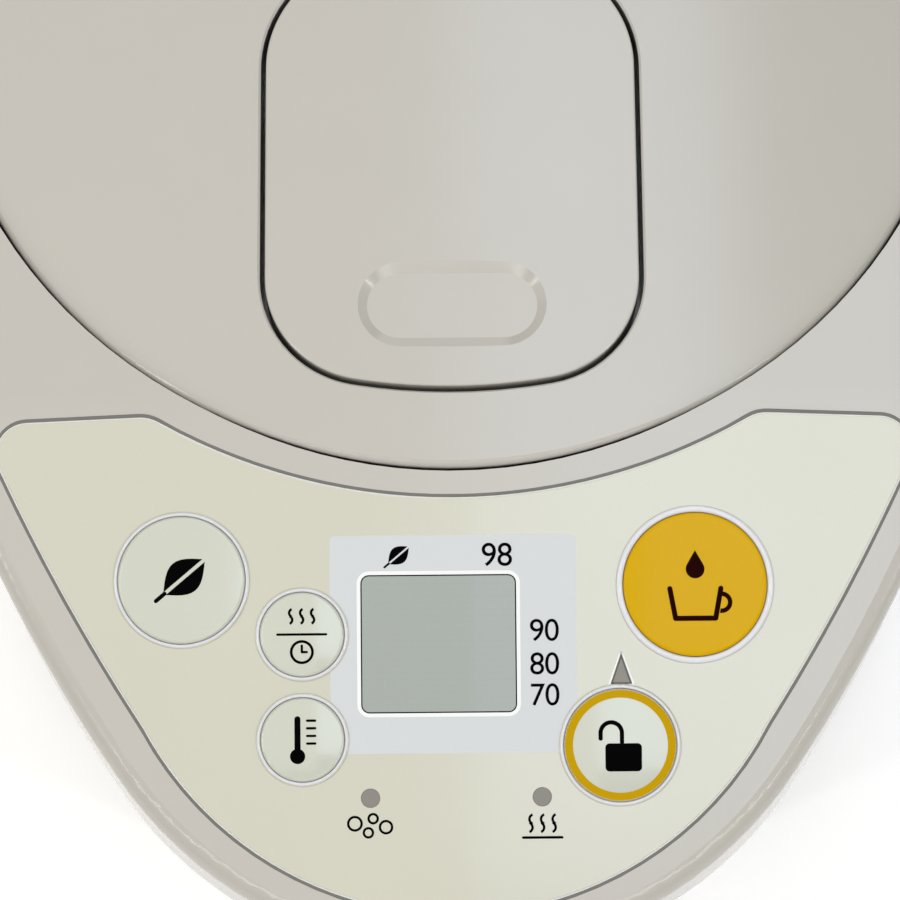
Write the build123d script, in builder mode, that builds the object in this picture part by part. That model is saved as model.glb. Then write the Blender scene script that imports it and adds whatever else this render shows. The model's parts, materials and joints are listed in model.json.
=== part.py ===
from build123d import *
import math
import os

# Electric thermo pot: a round lidded water heater with a sloping control nose.
# The origin is on the table, on the axis of the swivel base. +Z is up and the nose points along -Y.

# ---------------------------------------------------------------- driving sizes, mm

# Heights, from the table up
foot_height = 3.0
turntable_thickness = 3.5
swivel_gap = 1.5
base_height = 18.0
case_visible_height = 201.0
ring_height = 35.0
case_lap = 7.0

# Radii and walls
lid_radius = 87.7
lid_gap = 0.5
well_wall = 2.2
ring_width = 13.3
ring_wall = 2.5
deck_thickness = 3.0
case_step = 4.0
case_wall = 0.8
base_step = 2.0
vessel_space = 20.5
vessel_wall = 0.6
plastic_wall = 2.4
seat_clearance = 0.1
body_clearance = 0.3
running_clearance = 0.05

# Nose, in plan
nose_setback = 5.5
nose_radius = 69.2
side_radius = 252.0
top_edge_radius = 3.4
frame_wall = 3.0
frame_draft = 2.5
crease_radius = 20.0

# Sloping control panel; its own x runs right and its own y up the slope
panel_tilt = 17.0
panel_strip = 4.3
panel_drop = 4.3
panel_thickness = 2.2
panel_gap = 0.4
panel_ledge = 3.0
panel_edge_radius = 0.25
panel_bend = (50.2, 13.7)
panel_corner = (78.2, 12.6)
panel_side = (63.7, -16.8)
panel_low = (51.3, -37.5)
panel_tip = -68.3
panel_corner_radius = 5.2
panel_bend_radius = 6.0
frame_skin = 4.0

# Buttons: centre and radius on the panel
dispense_at, dispense_radius = (39.6, -14.6), 11.85
unlock_at, unlock_radius = (27.0, -40.9), 9.27
energy_at, energy_radius = (-45.0, -13.2), 10.5
timer_at, timer_radius = (-25.2, -22.3), 6.95
temperature_at, temperature_radius = (-25.2, -39.6), 6.9
button_gap = 0.2
button_travel = 0.6
button_rise = 0.7
button_dome_radius = 0.5
button_flange = 0.8
button_flange_thickness = 1.0
button_stem_radius = 2.5
collar_width = 0.6
wide_collar_width = 1.0
collar_rise = 0.3
collar_edge_radius = 0.24
switch_size = 6.0
switch_body_height = 3.5
switch_plunger_height = 1.2
switch_plunger_radius = 1.75

# Display and lamps
display_at = (-2.7, -24.0)
display_size = (25.9, 23.0)
display_corner = 1.5
module_margin = 0.5
lamp_offset, lamp_y, lamp_radius = 14.1, -49.25, 1.53
pointer_at, pointer_width, pointer_height = (27.3, -28.6), 3.07, 4.15
light_pipe_radius = 0.9
board_depth = 12.0
board_thickness = 1.6
board_inset = 8.0
post_radius = 2.5
post_places = [(-60.5, 0.0), (60.5, 0.0), (0.0, -54.5), (-41.0, -36.0), (42.5, -33.0)]

# Nose cover and water way
cover_step = 0.8
cover_draft = 25.0
cover_tip_drop = 27.0
cover_tip_setback = 12.5
cover_root_drop = 67.0
cover_edge_radius = 8.0
passage_half_width = 22.0
passage_sill = 8.0
passage_drop = 5.0
pipe_radius = 5.5
pipe_bore = 4.1
pipe_bend = 9.0
spout_reach = 24.0
spout_drop = 25.0
nozzle_length = 28.0
nozzle_radius = 7.5
nozzle_flare_height = 6.0
nozzle_edge_radius = 1.2
valve_reach = 21.8
valve_radius = 9.0
valve_bore = 6.5
valve_sump = 9.0
valve_headroom = 13.0
ball_radius = 4.0

# Water gauge at the front of the case
gauge_rise_from_base = 36.0
gauge_drop = 75.0
gauge_half_width = 8.5
gauge_rise = 1.6
gauge_flange = 2.0
gauge_tube_radius = 4.0
gauge_tube_bore = 2.8
gauge_tube_setback = 7.3
gauge_tube_overrun = 6.0
gauge_tube_drop = 26.0
backplate_thickness = 1.8

# Vessel, heater and pump
vessel_clearance_under = 36.0
vessel_flange = 7.0
mouth_margin = 0.6
well_floor_thickness = 2.0
well_depth = 22.0
gasket_thickness = 0.8
wrap_thickness = 5.0
wrap_drop = 59.2
clamp_tube_gap = 4.0
fuse_half_length = 7.0
heater_bore = 12.0
heater_thickness = 3.5
heater_rim = 7.0
clamp_thickness = 1.2
sensor_radius = 8.0
sensor_height = 9.0
outlet_radius = 6.0
outlet_lip = 0.4
pump_setback = 15.0
pump_radius = 17.0
pump_rise = 3.5
pump_height = 14.0
pump_floor = 1.2
pump_wall = 2.0
impeller_radius = 13.0
vane_thickness, vane_height = 1.2, 6.5
motor_radius = 13.5
motor_height = 14.0
magnet_height = 3.9
rotor_gap = 0.5
spindle_radius = 1.5
leg_count = 3
leg_width = 16.0
leg_thickness = 2.0
leg_clearance = 1.5

# Swivel base
turntable_inset = 8.5
foot_inset = 3.0
foot_width = 12.0
hub_radius = 12.0
hub_height = 7.0
clip_radius = 17.0
clip_thickness = 1.6
cover_plate_thickness = 2.4
cover_screw_inset = 11.5
screw_boss_radius = 5.0
cover_screw_count = 4
screw_radius = 1.9
screw_head_radius = 3.6
screw_head_height = 2.0
screw_length = 9.0

# Power inlet and board at the back
inlet_half_width = 17.0
inlet_rise = 8.0
inlet_height = 24.0
inlet_wall = 4.0
inlet_recess = 6.0
inlet_depth = 9.0
inlet_pin_radius = 1.5
inlet_pin_spacing = 12.0
power_board_half_width = 30.0
power_board_rise = 44.0
power_board_height = 95.0
power_board_thickness = 1.6

# Lid
lid_edge_drop = 1.8
lid_crown = 6.8
lid_rim_height = 4.0
lid_rim_step = 1.3
lid_edge_radius = 1.2
lid_wall = 2.2
lid_floor_gap = 0.6
pocket_rise = 6.0
pocket_floor_thickness = 2.0
lid_base_thickness = 2.4
plug_gap = 3.0
plug_depth = 8.6
inner_lid_thickness = 2.0
lid_gasket_height = 4.0
gasket_clearance = 0.45
gasket_flare = 1.0
hinge_setback = 5.8
hinge_drop = 2.0
hinge_pin_radius = 2.0
knuckle_radius = 5.0
knuckle_half_width = 26.0
lug_thickness = 8.0
lug_gap = 0.6
notch_half_width = 36.0
notch_depth = 14.0
vent_inset = 39.7
vent_radius = 13.0
vent_rise = 1.2
vent_slots = 5
vent_slot_width = 1.8
steam_pipe_radius = 5.5
steam_pipe_bore = 4.0

# Lid lever and lock
lever_half_width = 31.25
lever_front_inset = 13.4
lever_front_radius = 93.0
lever_rear = 4.0
lever_front_corner = 18.0
lever_rear_corner = 21.4
lever_side_gap = 0.85
lever_frame_bevel = 0.35
lever_front_gap = 0.95
lever_skin = 2.2
lever_edge_radius = 0.3
lever_wall = 2.0
lever_skirt = 1.0
pivot_inset = 6.0
pivot_drop = 3.5
pivot_radius = 1.5
pivot_boss_radius = 3.0
pivot_boss_length = 6.0
lever_press = 4.5
recess_length = 32.2
recess_width = 15.0
recess_inset = 14.0
recess_band = 1.9
recess_depth = 1.1
recess_slope = 6.0
hook_half_width = 7.0
hook_thickness = 2.8
hook_rise = 0.6
hook_reach = 1.8
hook_tail = 10.0
hook_travel = 3.6
ramp_height = 6.0
ramp_inset = 18.3
hook_ramp_depth = 7.0
ramp_half_width = 4.0
slot_clearance = 0.8
finger_overlap = 0.4
finger_depth = 6.0
spring_wire = 0.5
spring_radius = 1.4
spring_turns = 6
spring_length = 12.0
spring_post_thickness = 3.0

# Carrying handle
handle_thickness = 3.6
handle_gap = 0.4
handle_straight = 12.0
handle_rear_gap = 8.5
handle_rear_width = 8.0
handle_height = 16.0
handle_edge_radius = 1.5
handle_rise = 17.0
pivot_pin_radius = 6.0
pivot_pin_depth = 8.0

# ---------------------------------------------------------------- worked-out sizes

turntable_low = foot_height
turntable_top = turntable_low + turntable_thickness
base_low = turntable_top + swivel_gap
base_top = base_low + base_height
ring_low = base_top + case_visible_height
ring_top = ring_low + ring_height
case_top = ring_low + case_lap

well_radius = lid_radius + lid_gap
well_outer = well_radius + well_wall
ring_radius = well_radius + ring_width
case_radius = ring_radius - case_step
case_inner = case_radius - case_wall
base_radius = case_radius + base_step
vessel_radius = case_radius - vessel_space
vessel_outer = vessel_radius + vessel_wall
wrap_inner = vessel_outer + seat_clearance
wrap_outer = wrap_inner + wrap_thickness

nose_y = -(ring_radius - nose_setback)
lid_edge_z = ring_top - lid_edge_drop
lid_top_z = lid_edge_z + lid_crown
well_floor_top = ring_top - well_depth
well_floor_low = well_floor_top - well_floor_thickness
mouth_radius = vessel_radius + mouth_margin
vessel_rim = well_floor_low - gasket_thickness

# Centre of each side arc: it is tangent inside to the ring circle and to the nose circle
side_to_ring = side_radius - ring_radius
side_to_nose = side_radius - nose_radius
side_cy = (side_to_nose**2 - side_to_ring**2 - nose_y**2) / (2 * abs(nose_y))
side_cx = -math.sqrt(side_to_ring**2 - side_cy**2)

tilt = math.radians(panel_tilt)
panel_origin = Vector(0, -(well_radius + panel_strip), ring_top - panel_drop)
panel_normal = Vector(0, -math.sin(tilt), math.cos(tilt))
panel_plane = Plane(origin=panel_origin, x_dir=(1, 0, 0), z_dir=panel_normal)

flange_top = panel_thickness + body_clearance
stem_low = board_depth - switch_body_height - switch_plunger_height - button_travel - body_clearance

frame_foot_inset = ring_height * math.tan(math.radians(frame_draft))
cover_tip_y = nose_y - nose_radius + cover_tip_setback
cover_tip_z = ring_low - cover_tip_drop
cover_root_z = ring_low - cover_root_drop
cover_depth = cover_root_drop + 1
spout_level = ring_low - spout_drop
passage_low = cover_root_z + passage_sill
passage_high = ring_low - passage_drop
gauge_y = -(case_radius - gauge_tube_setback)
valve_y = gauge_y - valve_reach
spout_y = valve_y - spout_reach
nozzle_low = spout_level - nozzle_length
valve_low = spout_level - valve_sump
valve_high = spout_level + valve_headroom
gauge_low = base_top + gauge_rise_from_base
gauge_high = ring_low - gauge_drop
gauge_tube_low = gauge_low - gauge_tube_overrun
gauge_tube_high = spout_level - gauge_tube_drop

vessel_bottom = base_top + vessel_clearance_under
wrap_high = vessel_rim - wrap_drop
pump_y = -(vessel_radius - pump_setback)
pump_low = base_top + pump_rise
inlet_low = base_top + inlet_rise
inlet_high = inlet_low + inlet_height
power_board_low = base_top + power_board_rise
power_board_high = power_board_low + power_board_height

turntable_radius = base_radius - turntable_inset
foot_outer = turntable_radius - foot_inset
foot_inner = foot_outer - foot_width
cover_screw_circle = base_radius - cover_screw_inset

lid_base_low = well_floor_top + lid_floor_gap
lid_skirt_low = lid_base_low + lid_base_thickness
pocket_floor = lid_skirt_low + pocket_rise
plug_radius = vessel_radius - plug_gap
plug_low = lid_base_low - plug_depth
hinge_y = well_radius + hinge_setback
hinge_z = ring_top - hinge_drop
notch_floor = hinge_z - notch_depth
vent_y = lid_radius - vent_inset

lever_front = -(lid_radius - lever_front_inset)
pivot_y = lever_rear - pivot_inset
pivot_z = ring_top - pivot_drop
lever_low = pivot_z - lever_skirt
recess_y = lever_front + recess_inset
hook_low = lid_skirt_low + hook_rise
hook_front = -(well_radius + hook_reach)
hook_ramp_y = lever_front + ramp_inset
hook_rear = hook_ramp_y + hook_tail
hook_ramp_top = hook_low + hook_thickness + ramp_height
finger_low = hook_ramp_top - finger_overlap

handle_inner_reach = ring_radius + handle_rear_gap - handle_straight
handle_outer_reach = handle_inner_reach + handle_rear_width
handle_z = ring_low + handle_rise

BIG = 400.0
FUZZ = 0.01

# ---------------------------------------------------------------- shared shapes


def save(builder, name):
    """Label a finished piece and write it as its own STEP file."""
    builder.part.label = name
    export_step(builder.part, os.path.join("parts", name + ".step"))


def disc(radius, low, high, at=(0, 0), mode=Mode.ADD):
    """Upright cylinder between two heights."""
    with BuildSketch(Plane((at[0], at[1], low))) as profile:
        Circle(radius)
    extrude(profile.sketch, amount=high - low, mode=mode)


def tube(outer, inner, low, high, at=(0, 0), mode=Mode.ADD):
    """Upright tube between two heights."""
    with BuildSketch(Plane((at[0], at[1], low))) as profile:
        Circle(outer)
        Circle(inner, mode=Mode.SUBTRACT)
    extrude(profile.sketch, amount=high - low, mode=mode)


def block(x, y, z, mode=Mode.ADD):
    """Box given as three (low, high) pairs."""
    with BuildSketch(Plane(((x[0] + x[1]) / 2, (y[0] + y[1]) / 2, z[0]))) as profile:
        Rectangle(x[1] - x[0], y[1] - y[0])
    extrude(profile.sketch, amount=z[1] - z[0], mode=mode)


def rod_x(radius, x, y, z, mode=Mode.ADD):
    """Cylinder lying along X between the two ends in x."""
    with BuildSketch(Plane(origin=(x[0], y, z), x_dir=(0, 1, 0), z_dir=(1, 0, 0))) as profile:
        Circle(radius)
    extrude(profile.sketch, amount=x[1] - x[0], mode=mode)


def panel_at(depth):
    """The panel's plane, sunk by a depth measured square to the panel."""
    return panel_plane.offset(-depth)


def draw_deck(inset):
    """Plan outline of the ring and nose: four tangent arcs, all moved inwards by inset."""
    to_ring = math.degrees(math.atan2(-side_cy, -side_cx))
    to_nose = math.degrees(math.atan2(nose_y - side_cy, -side_cx))
    with BuildLine() as outline:
        CenterArc((0, 0), ring_radius - inset, to_ring, 180 - 2 * to_ring)
        CenterArc((-side_cx, side_cy), side_radius - inset, 180 - to_ring, to_ring - to_nose)
        CenterArc((0, nose_y), nose_radius - inset, 180 - to_nose, 180 + 2 * to_nose)
        CenterArc((side_cx, side_cy), side_radius - inset, to_nose, to_ring - to_nose)
    make_face(outline.line)


def draw_panel(grow=0.0):
    """Outline of the control panel on the sloping plane, grown or shrunk all round."""
    bx, by = panel_bend
    cx, cy = panel_corner
    sx, sy = panel_side
    lx, ly = panel_low
    with BuildLine() as outline:
        ThreePointArc((-bx, by), (0, 0), (bx, by))
        Line((bx, by), (cx, cy))
        ThreePointArc((cx, cy), (sx, sy), (lx, ly))
        ThreePointArc((lx, ly), (0, panel_tip), (-lx, ly))
        ThreePointArc((-lx, ly), (-sx, sy), (-cx, cy))
        Line((-cx, cy), (-bx, by))
    face = make_face(outline.line)
    corners = face.vertices().filter_by(lambda v: abs(abs(v.X) - cx) < FUZZ)
    rounded = fillet(corners, panel_corner_radius)
    bends = rounded.vertices().filter_by(lambda v: abs(abs(v.X) - bx) < FUZZ and v.Y > 0)
    fillet(bends, panel_bend_radius)
    if grow:
        offset(amount=grow, mode=Mode.REPLACE)


def draw_lever(side=0.0, front=0.0):
    """Plan outline of the lid lever, grown at its sides and rear, and at its front."""
    half = lever_half_width + side
    front_y = lever_front - front
    rear_y = lever_rear + side
    bow = lever_front_radius - math.sqrt(lever_front_radius**2 - half**2)
    with BuildLine() as outline:
        ThreePointArc((-half, front_y + bow), (0, front_y), (half, front_y + bow))
        Line((half, front_y + bow), (half, rear_y))
        Line((half, rear_y), (-half, rear_y))
        Line((-half, rear_y), (-half, front_y + bow))
    face = make_face(outline.line)
    front_corners = face.vertices().filter_by(lambda v: v.Y < 0)
    blunt = fillet(front_corners, lever_front_corner + side)
    rear_corners = blunt.vertices().filter_by(lambda v: v.Y > rear_y - FUZZ)
    fillet(rear_corners, lever_rear_corner + side)


def lever_half_at(y):
    """Half-width of the lid lever across its rounded rear corners, at a place along Y."""
    rise = y - (lever_rear - lever_rear_corner)
    return lever_half_width - lever_rear_corner + math.sqrt(lever_rear_corner**2 - rise**2)


def lid_height(y):
    """Height of the lid's dome above a point at distance y from its centre."""
    dome_radius = (lid_radius**2 + lid_crown**2) / (2 * lid_crown)
    return lid_top_z - dome_radius + math.sqrt(dome_radius**2 - y**2)


def is_on_dome(edge):
    """True for an edge whose middle lies on the lid's dome."""
    middle = edge @ 0.5
    return abs(middle.Z - lid_height(math.hypot(middle.X, middle.Y))) < FUZZ


def dome_solid(drop, low, radius):
    """Solid of revolution under the lid's dome, down to a height."""
    half = radius / 2
    with BuildSketch(Plane.XZ) as profile:
        with BuildLine():
            ThreePointArc(
                (0, lid_height(0) - drop),
                (half, lid_height(half) - drop),
                (radius, lid_height(radius) - drop),
            )
            Line((radius, lid_height(radius) - drop), (radius, low))
            Line((radius, low), (0, low))
            Line((0, low), (0, lid_height(0) - drop))
        make_face()
    revolve(profile.sketch, axis=Axis.Z)


os.makedirs("parts", exist_ok=True)

# ---------------------------------------------------------------- swivel base

with BuildPart() as foot_ring:
    tube(foot_outer, foot_inner, 0, foot_height)
save(foot_ring, "foot_ring")

cover_top = base_low + cover_plate_thickness
clip_low = cover_top + body_clearance
clip_groove = 1.5

with BuildPart() as turntable:
    disc(turntable_radius, turntable_low, turntable_top)
    fillet(turntable.edges().filter_by(GeomType.CIRCLE).sort_by(SortBy.RADIUS)[-2:], turntable_thickness / 4)
    disc(hub_radius, turntable_top, turntable_top + hub_height)
    tube(foot_inner, foot_inner - plastic_wall, turntable_top, base_low - body_clearance)
    tube(hub_radius, hub_radius - clip_groove, clip_low, clip_low + clip_thickness, mode=Mode.SUBTRACT)
save(turntable, "turntable")

with BuildPart() as turntable_clip:
    clip_bore = hub_radius - clip_groove + seat_clearance
    tube(clip_radius, clip_bore, clip_low + seat_clearance, clip_low + clip_thickness - seat_clearance)
save(turntable_clip, "turntable_clip")

# ---------------------------------------------------------------- base

shelf_low = base_top - plastic_wall
shelf_inner = cover_screw_circle - screw_boss_radius - 1

with BuildPart() as base_housing:
    tube(base_radius, base_radius - plastic_wall, base_low, base_top)
    foot_circles = base_housing.edges().group_by(Axis.Z)[0].filter_by(GeomType.CIRCLE)
    fillet(foot_circles.sort_by(SortBy.RADIUS)[-1], plastic_wall / 2)
    tube(base_radius - plastic_wall / 2, shelf_inner, shelf_low, base_top)
    tube(case_inner - seat_clearance, case_inner - plastic_wall, base_top, base_top + case_lap)
    with BuildSketch(Plane.XY.offset(cover_top + seat_clearance)):
        with PolarLocations(cover_screw_circle, cover_screw_count, start_angle=45):
            Circle(screw_boss_radius)
    extrude(until=Until.NEXT)
    with BuildSketch(Plane.XY.offset(cover_top)):
        with PolarLocations(cover_screw_circle, cover_screw_count, start_angle=45):
            Circle(screw_radius + running_clearance)
    extrude(amount=screw_length, mode=Mode.SUBTRACT)
save(base_housing, "base_housing")

with BuildPart() as bottom_cover:
    disc(base_radius - plastic_wall - seat_clearance, base_low, cover_top)
    disc(hub_radius + running_clearance, base_low, cover_top, mode=Mode.SUBTRACT)
    with Locations(Plane.XY.offset(base_low).rotated((180, 0, 0))):
        with PolarLocations(cover_screw_circle, cover_screw_count, start_angle=45):
            CounterBoreHole(
                screw_radius + running_clearance,
                screw_head_radius + seat_clearance,
                screw_head_height - seat_clearance,
            )
save(bottom_cover, "bottom_cover")

with BuildPart() as base_screws:
    head_low = base_low
    head_top = base_low + screw_head_height - 2 * seat_clearance
    with BuildSketch(Plane.XY.offset(head_low)):
        with PolarLocations(cover_screw_circle, cover_screw_count, start_angle=45):
            Circle(screw_head_radius)
    extrude(amount=head_top - head_low)
    with BuildSketch(Plane.XY.offset(head_low)):
        with PolarLocations(cover_screw_circle, cover_screw_count, start_angle=45):
            Circle(screw_radius)
    extrude(amount=screw_length)
save(base_screws, "base_screws")

# ---------------------------------------------------------------- case

with BuildPart() as outer_case:
    tube(case_radius, case_inner, base_top, case_top)
    front = (-case_radius - case_wall, -case_inner / 2)
    block((-gauge_half_width, gauge_half_width), front, (gauge_low, gauge_high), mode=Mode.SUBTRACT)
    passage = (-passage_half_width, passage_half_width)
    block(passage, front, (passage_low, passage_high), mode=Mode.SUBTRACT)
    inlet_hole = inlet_half_width + seat_clearance
    block(
        (-inlet_hole, inlet_hole),
        (case_inner / 2, case_radius + case_wall),
        (inlet_low - seat_clearance, inlet_high + seat_clearance),
        mode=Mode.SUBTRACT,
    )
save(outer_case, "outer_case")

# ---------------------------------------------------------------- shoulder frame

frame_lip = plastic_wall
notch_wall = notch_half_width + ring_wall
rear_span = (hinge_y - 4 * knuckle_radius, hinge_y + 4 * knuckle_radius)
lug_inner = knuckle_half_width + lug_gap
boss_inner = ring_radius - pivot_pin_depth

with BuildPart() as frame_cavity:
    with BuildSketch(Plane.XY.offset(ring_low + frame_lip)):
        draw_deck(frame_wall)
    extrude(amount=ring_height - frame_lip - deck_thickness)
    with BuildSketch(panel_at(frame_skin)):
        Rectangle(BIG, BIG)
    extrude(amount=BIG / 2, mode=Mode.SUBTRACT)
    disc(well_outer, well_floor_low, ring_top, mode=Mode.SUBTRACT)
    block((-notch_wall, notch_wall), rear_span, (notch_floor - ring_wall, ring_top), mode=Mode.SUBTRACT)
    with BuildSketch(Plane.XY.offset(ring_low)):
        draw_deck(case_step - seat_clearance)
    extrude(amount=frame_lip)

with BuildPart() as shoulder_frame:
    with BuildSketch(Plane.XY.offset(ring_top)) as deck:
        draw_deck(0)
    extrude(deck.sketch, amount=-ring_height, taper=frame_draft)
    with BuildSketch(panel_plane):
        Rectangle(BIG, BIG)
    extrude(amount=BIG / 2, mode=Mode.SUBTRACT)
    top_edges = shoulder_frame.edges().filter_by_position(Axis.Z, ring_low + 1, ring_top + 1)
    crease = top_edges.filter_by(Axis.X)
    fillet(crease, crease_radius)
    top_edges = shoulder_frame.edges().filter_by_position(Axis.Z, ring_low + 1, ring_top + 1)
    rim = [e for e in top_edges if e.geom_type != GeomType.LINE]
    fillet(rim, top_edge_radius)
    add(frame_cavity.part, mode=Mode.SUBTRACT)
    disc(well_radius, well_floor_top, ring_top + 1, mode=Mode.SUBTRACT)
    disc(mouth_radius, ring_low, ring_top, mode=Mode.SUBTRACT)
    notch = (-notch_half_width, notch_half_width)
    block(notch, rear_span, (notch_floor, ring_top + 1), mode=Mode.SUBTRACT)
    for side in (-1, 1):
        lug = sorted((side * lug_inner, side * (lug_inner + lug_thickness)))
        block(lug, (hinge_y - knuckle_radius, hinge_y + knuckle_radius), (notch_floor, hinge_z))
        rod_x(knuckle_radius, lug, hinge_y, hinge_z)
        rod_x(hinge_pin_radius, lug, hinge_y, hinge_z, mode=Mode.SUBTRACT)
        boss = sorted((side * boss_inner, side * (ring_radius - ring_wall / 2)))
        rod_x(pivot_pin_radius + ring_wall, boss, 0, handle_z)
        bore = sorted((side * boss_inner, side * (ring_radius + 1)))
        rod_x(pivot_pin_radius, bore, 0, handle_z, mode=Mode.SUBTRACT)
    with BuildSketch(panel_plane):
        draw_panel(panel_gap)
    extrude(amount=-panel_thickness, mode=Mode.SUBTRACT)
    with BuildSketch(panel_plane):
        draw_panel(-panel_ledge)
    extrude(amount=-2 * frame_skin, mode=Mode.SUBTRACT)
    keeper = hook_half_width + body_clearance + 0.5
    block(
        (-keeper, keeper),
        (-well_outer - 1, -well_radius + 1),
        (hook_low - 2 * body_clearance, hook_low + hook_thickness + 2 * body_clearance),
        mode=Mode.SUBTRACT,
    )
save(shoulder_frame, "shoulder_frame")

with BuildPart() as pivot_pins:
    for side in (-1, 1):
        span = sorted((side * boss_inner, side * (ring_radius + handle_gap + handle_thickness)))
        rod_x(pivot_pin_radius, span, 0, handle_z)
save(pivot_pins, "pivot_pins")

with BuildPart() as hinge_pin:
    reach = lug_inner + lug_thickness
    rod_x(hinge_pin_radius, (-reach, reach), hinge_y, hinge_z)
save(hinge_pin, "hinge_pin")

# ---------------------------------------------------------------- nose cover

cover_run = -case_radius - cover_tip_y
cover_fall = cover_tip_z - cover_root_z
under_normal = Vector(0, -cover_fall, -cover_run)


def add_cover_form(inset, lift):
    """Drafted beak under the nose, moved inwards by inset and with its underside raised by lift."""
    with BuildSketch(Plane.XY.offset(ring_low)) as outline:
        draw_deck(frame_foot_inset + inset)
    extrude(outline.sketch, amount=-cover_depth, taper=cover_draft)
    under = Plane(origin=(0, cover_tip_y, cover_tip_z), x_dir=(1, 0, 0), z_dir=under_normal)
    with BuildSketch(under.offset(-lift)) as below:
        Rectangle(BIG, BIG)
    extrude(below.sketch, amount=BIG / 2, mode=Mode.SUBTRACT)
    return under.offset(-lift)


with BuildPart() as cover_cavity:
    add_cover_form(cover_step + plastic_wall, plastic_wall)
    block((-BIG / 2, BIG / 2), (-case_radius / 2, BIG / 2), (0, ring_top), mode=Mode.SUBTRACT)

with BuildPart() as nose_cover:
    under_plane = add_cover_form(cover_step, 0)
    under_face = nose_cover.faces().sort_by(lambda f: abs(f.normal_at().dot(under_plane.z_dir) - 1))[0]
    lower_rim = [e for e in under_face.edges() if e.geom_type != GeomType.LINE and e.center().Y < nose_y]
    fillet(lower_rim, cover_edge_radius)
    disc(case_radius + seat_clearance, 0, ring_top, mode=Mode.SUBTRACT)
    block((-BIG / 2, BIG / 2), (-case_radius / 4, BIG / 2), (0, ring_top), mode=Mode.SUBTRACT)
    add(cover_cavity.part, mode=Mode.SUBTRACT)
    disc(pipe_radius + seat_clearance, nozzle_low, ring_low, at=(0, spout_y), mode=Mode.SUBTRACT)
save(nose_cover, "nose_cover")

# ---------------------------------------------------------------- control panel

module_size = [size + 2 * module_margin for size in display_size]
buttons = {
    "dispense_button": (dispense_at, dispense_radius, wide_collar_width),
    "unlock_button": (unlock_at, unlock_radius, collar_width),
    "energy_button": (energy_at, energy_radius, collar_width),
    "timer_button": (timer_at, timer_radius, collar_width),
    "temperature_button": (temperature_at, temperature_radius, collar_width),
}
button_places = [at for at, radius, collar in buttons.values()]


def draw_pointer(grow=0.0):
    """Small triangle of the lock lamp, its point up the slope."""
    x, y = pointer_at
    half, high = pointer_width / 2 + grow, pointer_height / 2 + grow
    with BuildLine() as outline:
        Polyline((x - half, y - high), (x + half, y - high), (x, y + high), close=True)
    make_face(outline.line)


with BuildPart() as control_panel:
    with BuildSketch(panel_plane):
        draw_panel()
    extrude(amount=-panel_thickness)
    top_face = control_panel.faces().sort_by(lambda f: -f.normal_at().dot(panel_normal))[0]
    fillet(top_face.edges(), panel_edge_radius)
    with BuildSketch(panel_plane):
        for at, radius, collar in buttons.values():
            with Locations(at):
                Circle(radius + button_gap + collar)
    extrude(amount=collar_rise)
    collar_edges = control_panel.faces().filter_by(
        lambda f: abs((f.center() - panel_origin).dot(panel_normal) - collar_rise) < FUZZ
    ).edges()
    fillet(collar_edges, collar_edge_radius)
    with BuildSketch(panel_plane.offset(collar_rise)):
        for at, radius, collar in buttons.values():
            with Locations(at):
                Circle(radius + button_gap)
        with Locations(display_at):
            RectangleRounded(
                display_size[0] + 2 * seat_clearance,
                display_size[1] + 2 * seat_clearance,
                display_corner + seat_clearance,
            )
        for x in (-lamp_offset, lamp_offset):
            with Locations((x, lamp_y)):
                Circle(lamp_radius + running_clearance)
        draw_pointer(running_clearance)
    extrude(amount=-panel_thickness - collar_rise, mode=Mode.SUBTRACT)
    with BuildSketch(panel_at(panel_thickness)):
        with Locations(*post_places):
            Circle(post_radius)
    extrude(amount=panel_thickness - board_depth)
save(control_panel, "control_panel")

with BuildPart() as lcd_window:
    with BuildSketch(panel_plane):
        with Locations(display_at):
            RectangleRounded(*display_size, display_corner)
    extrude(amount=-panel_thickness)
save(lcd_window, "lcd_window")

with BuildPart() as lcd_module:
    with BuildSketch(panel_at(panel_thickness)):
        with Locations(display_at):
            Rectangle(*module_size)
    extrude(amount=panel_thickness - board_depth)
save(lcd_module, "lcd_module")

with BuildPart() as lamp_lenses:
    with BuildSketch(panel_plane):
        for x in (-lamp_offset, lamp_offset):
            with Locations((x, lamp_y)):
                Circle(lamp_radius)
        draw_pointer()
    extrude(amount=-panel_thickness)
    with BuildSketch(panel_at(panel_thickness)):
        with Locations((-lamp_offset, lamp_y), (lamp_offset, lamp_y), pointer_at):
            Circle(light_pipe_radius)
    extrude(amount=panel_thickness - board_depth)
save(lamp_lenses, "lamp_lenses")

with BuildPart() as control_board:
    with BuildSketch(panel_at(board_depth)):
        draw_panel(-board_inset)
    extrude(amount=-board_thickness)
save(control_board, "control_board")

with BuildPart() as tact_switches:
    with BuildSketch(panel_at(board_depth)):
        with Locations(*button_places):
            Rectangle(switch_size, switch_size)
    extrude(amount=switch_body_height)
    with BuildSketch(panel_at(board_depth)):
        with Locations(*button_places):
            Circle(switch_plunger_radius)
    extrude(amount=switch_body_height + switch_plunger_height)
save(tact_switches, "tact_switches")


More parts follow.
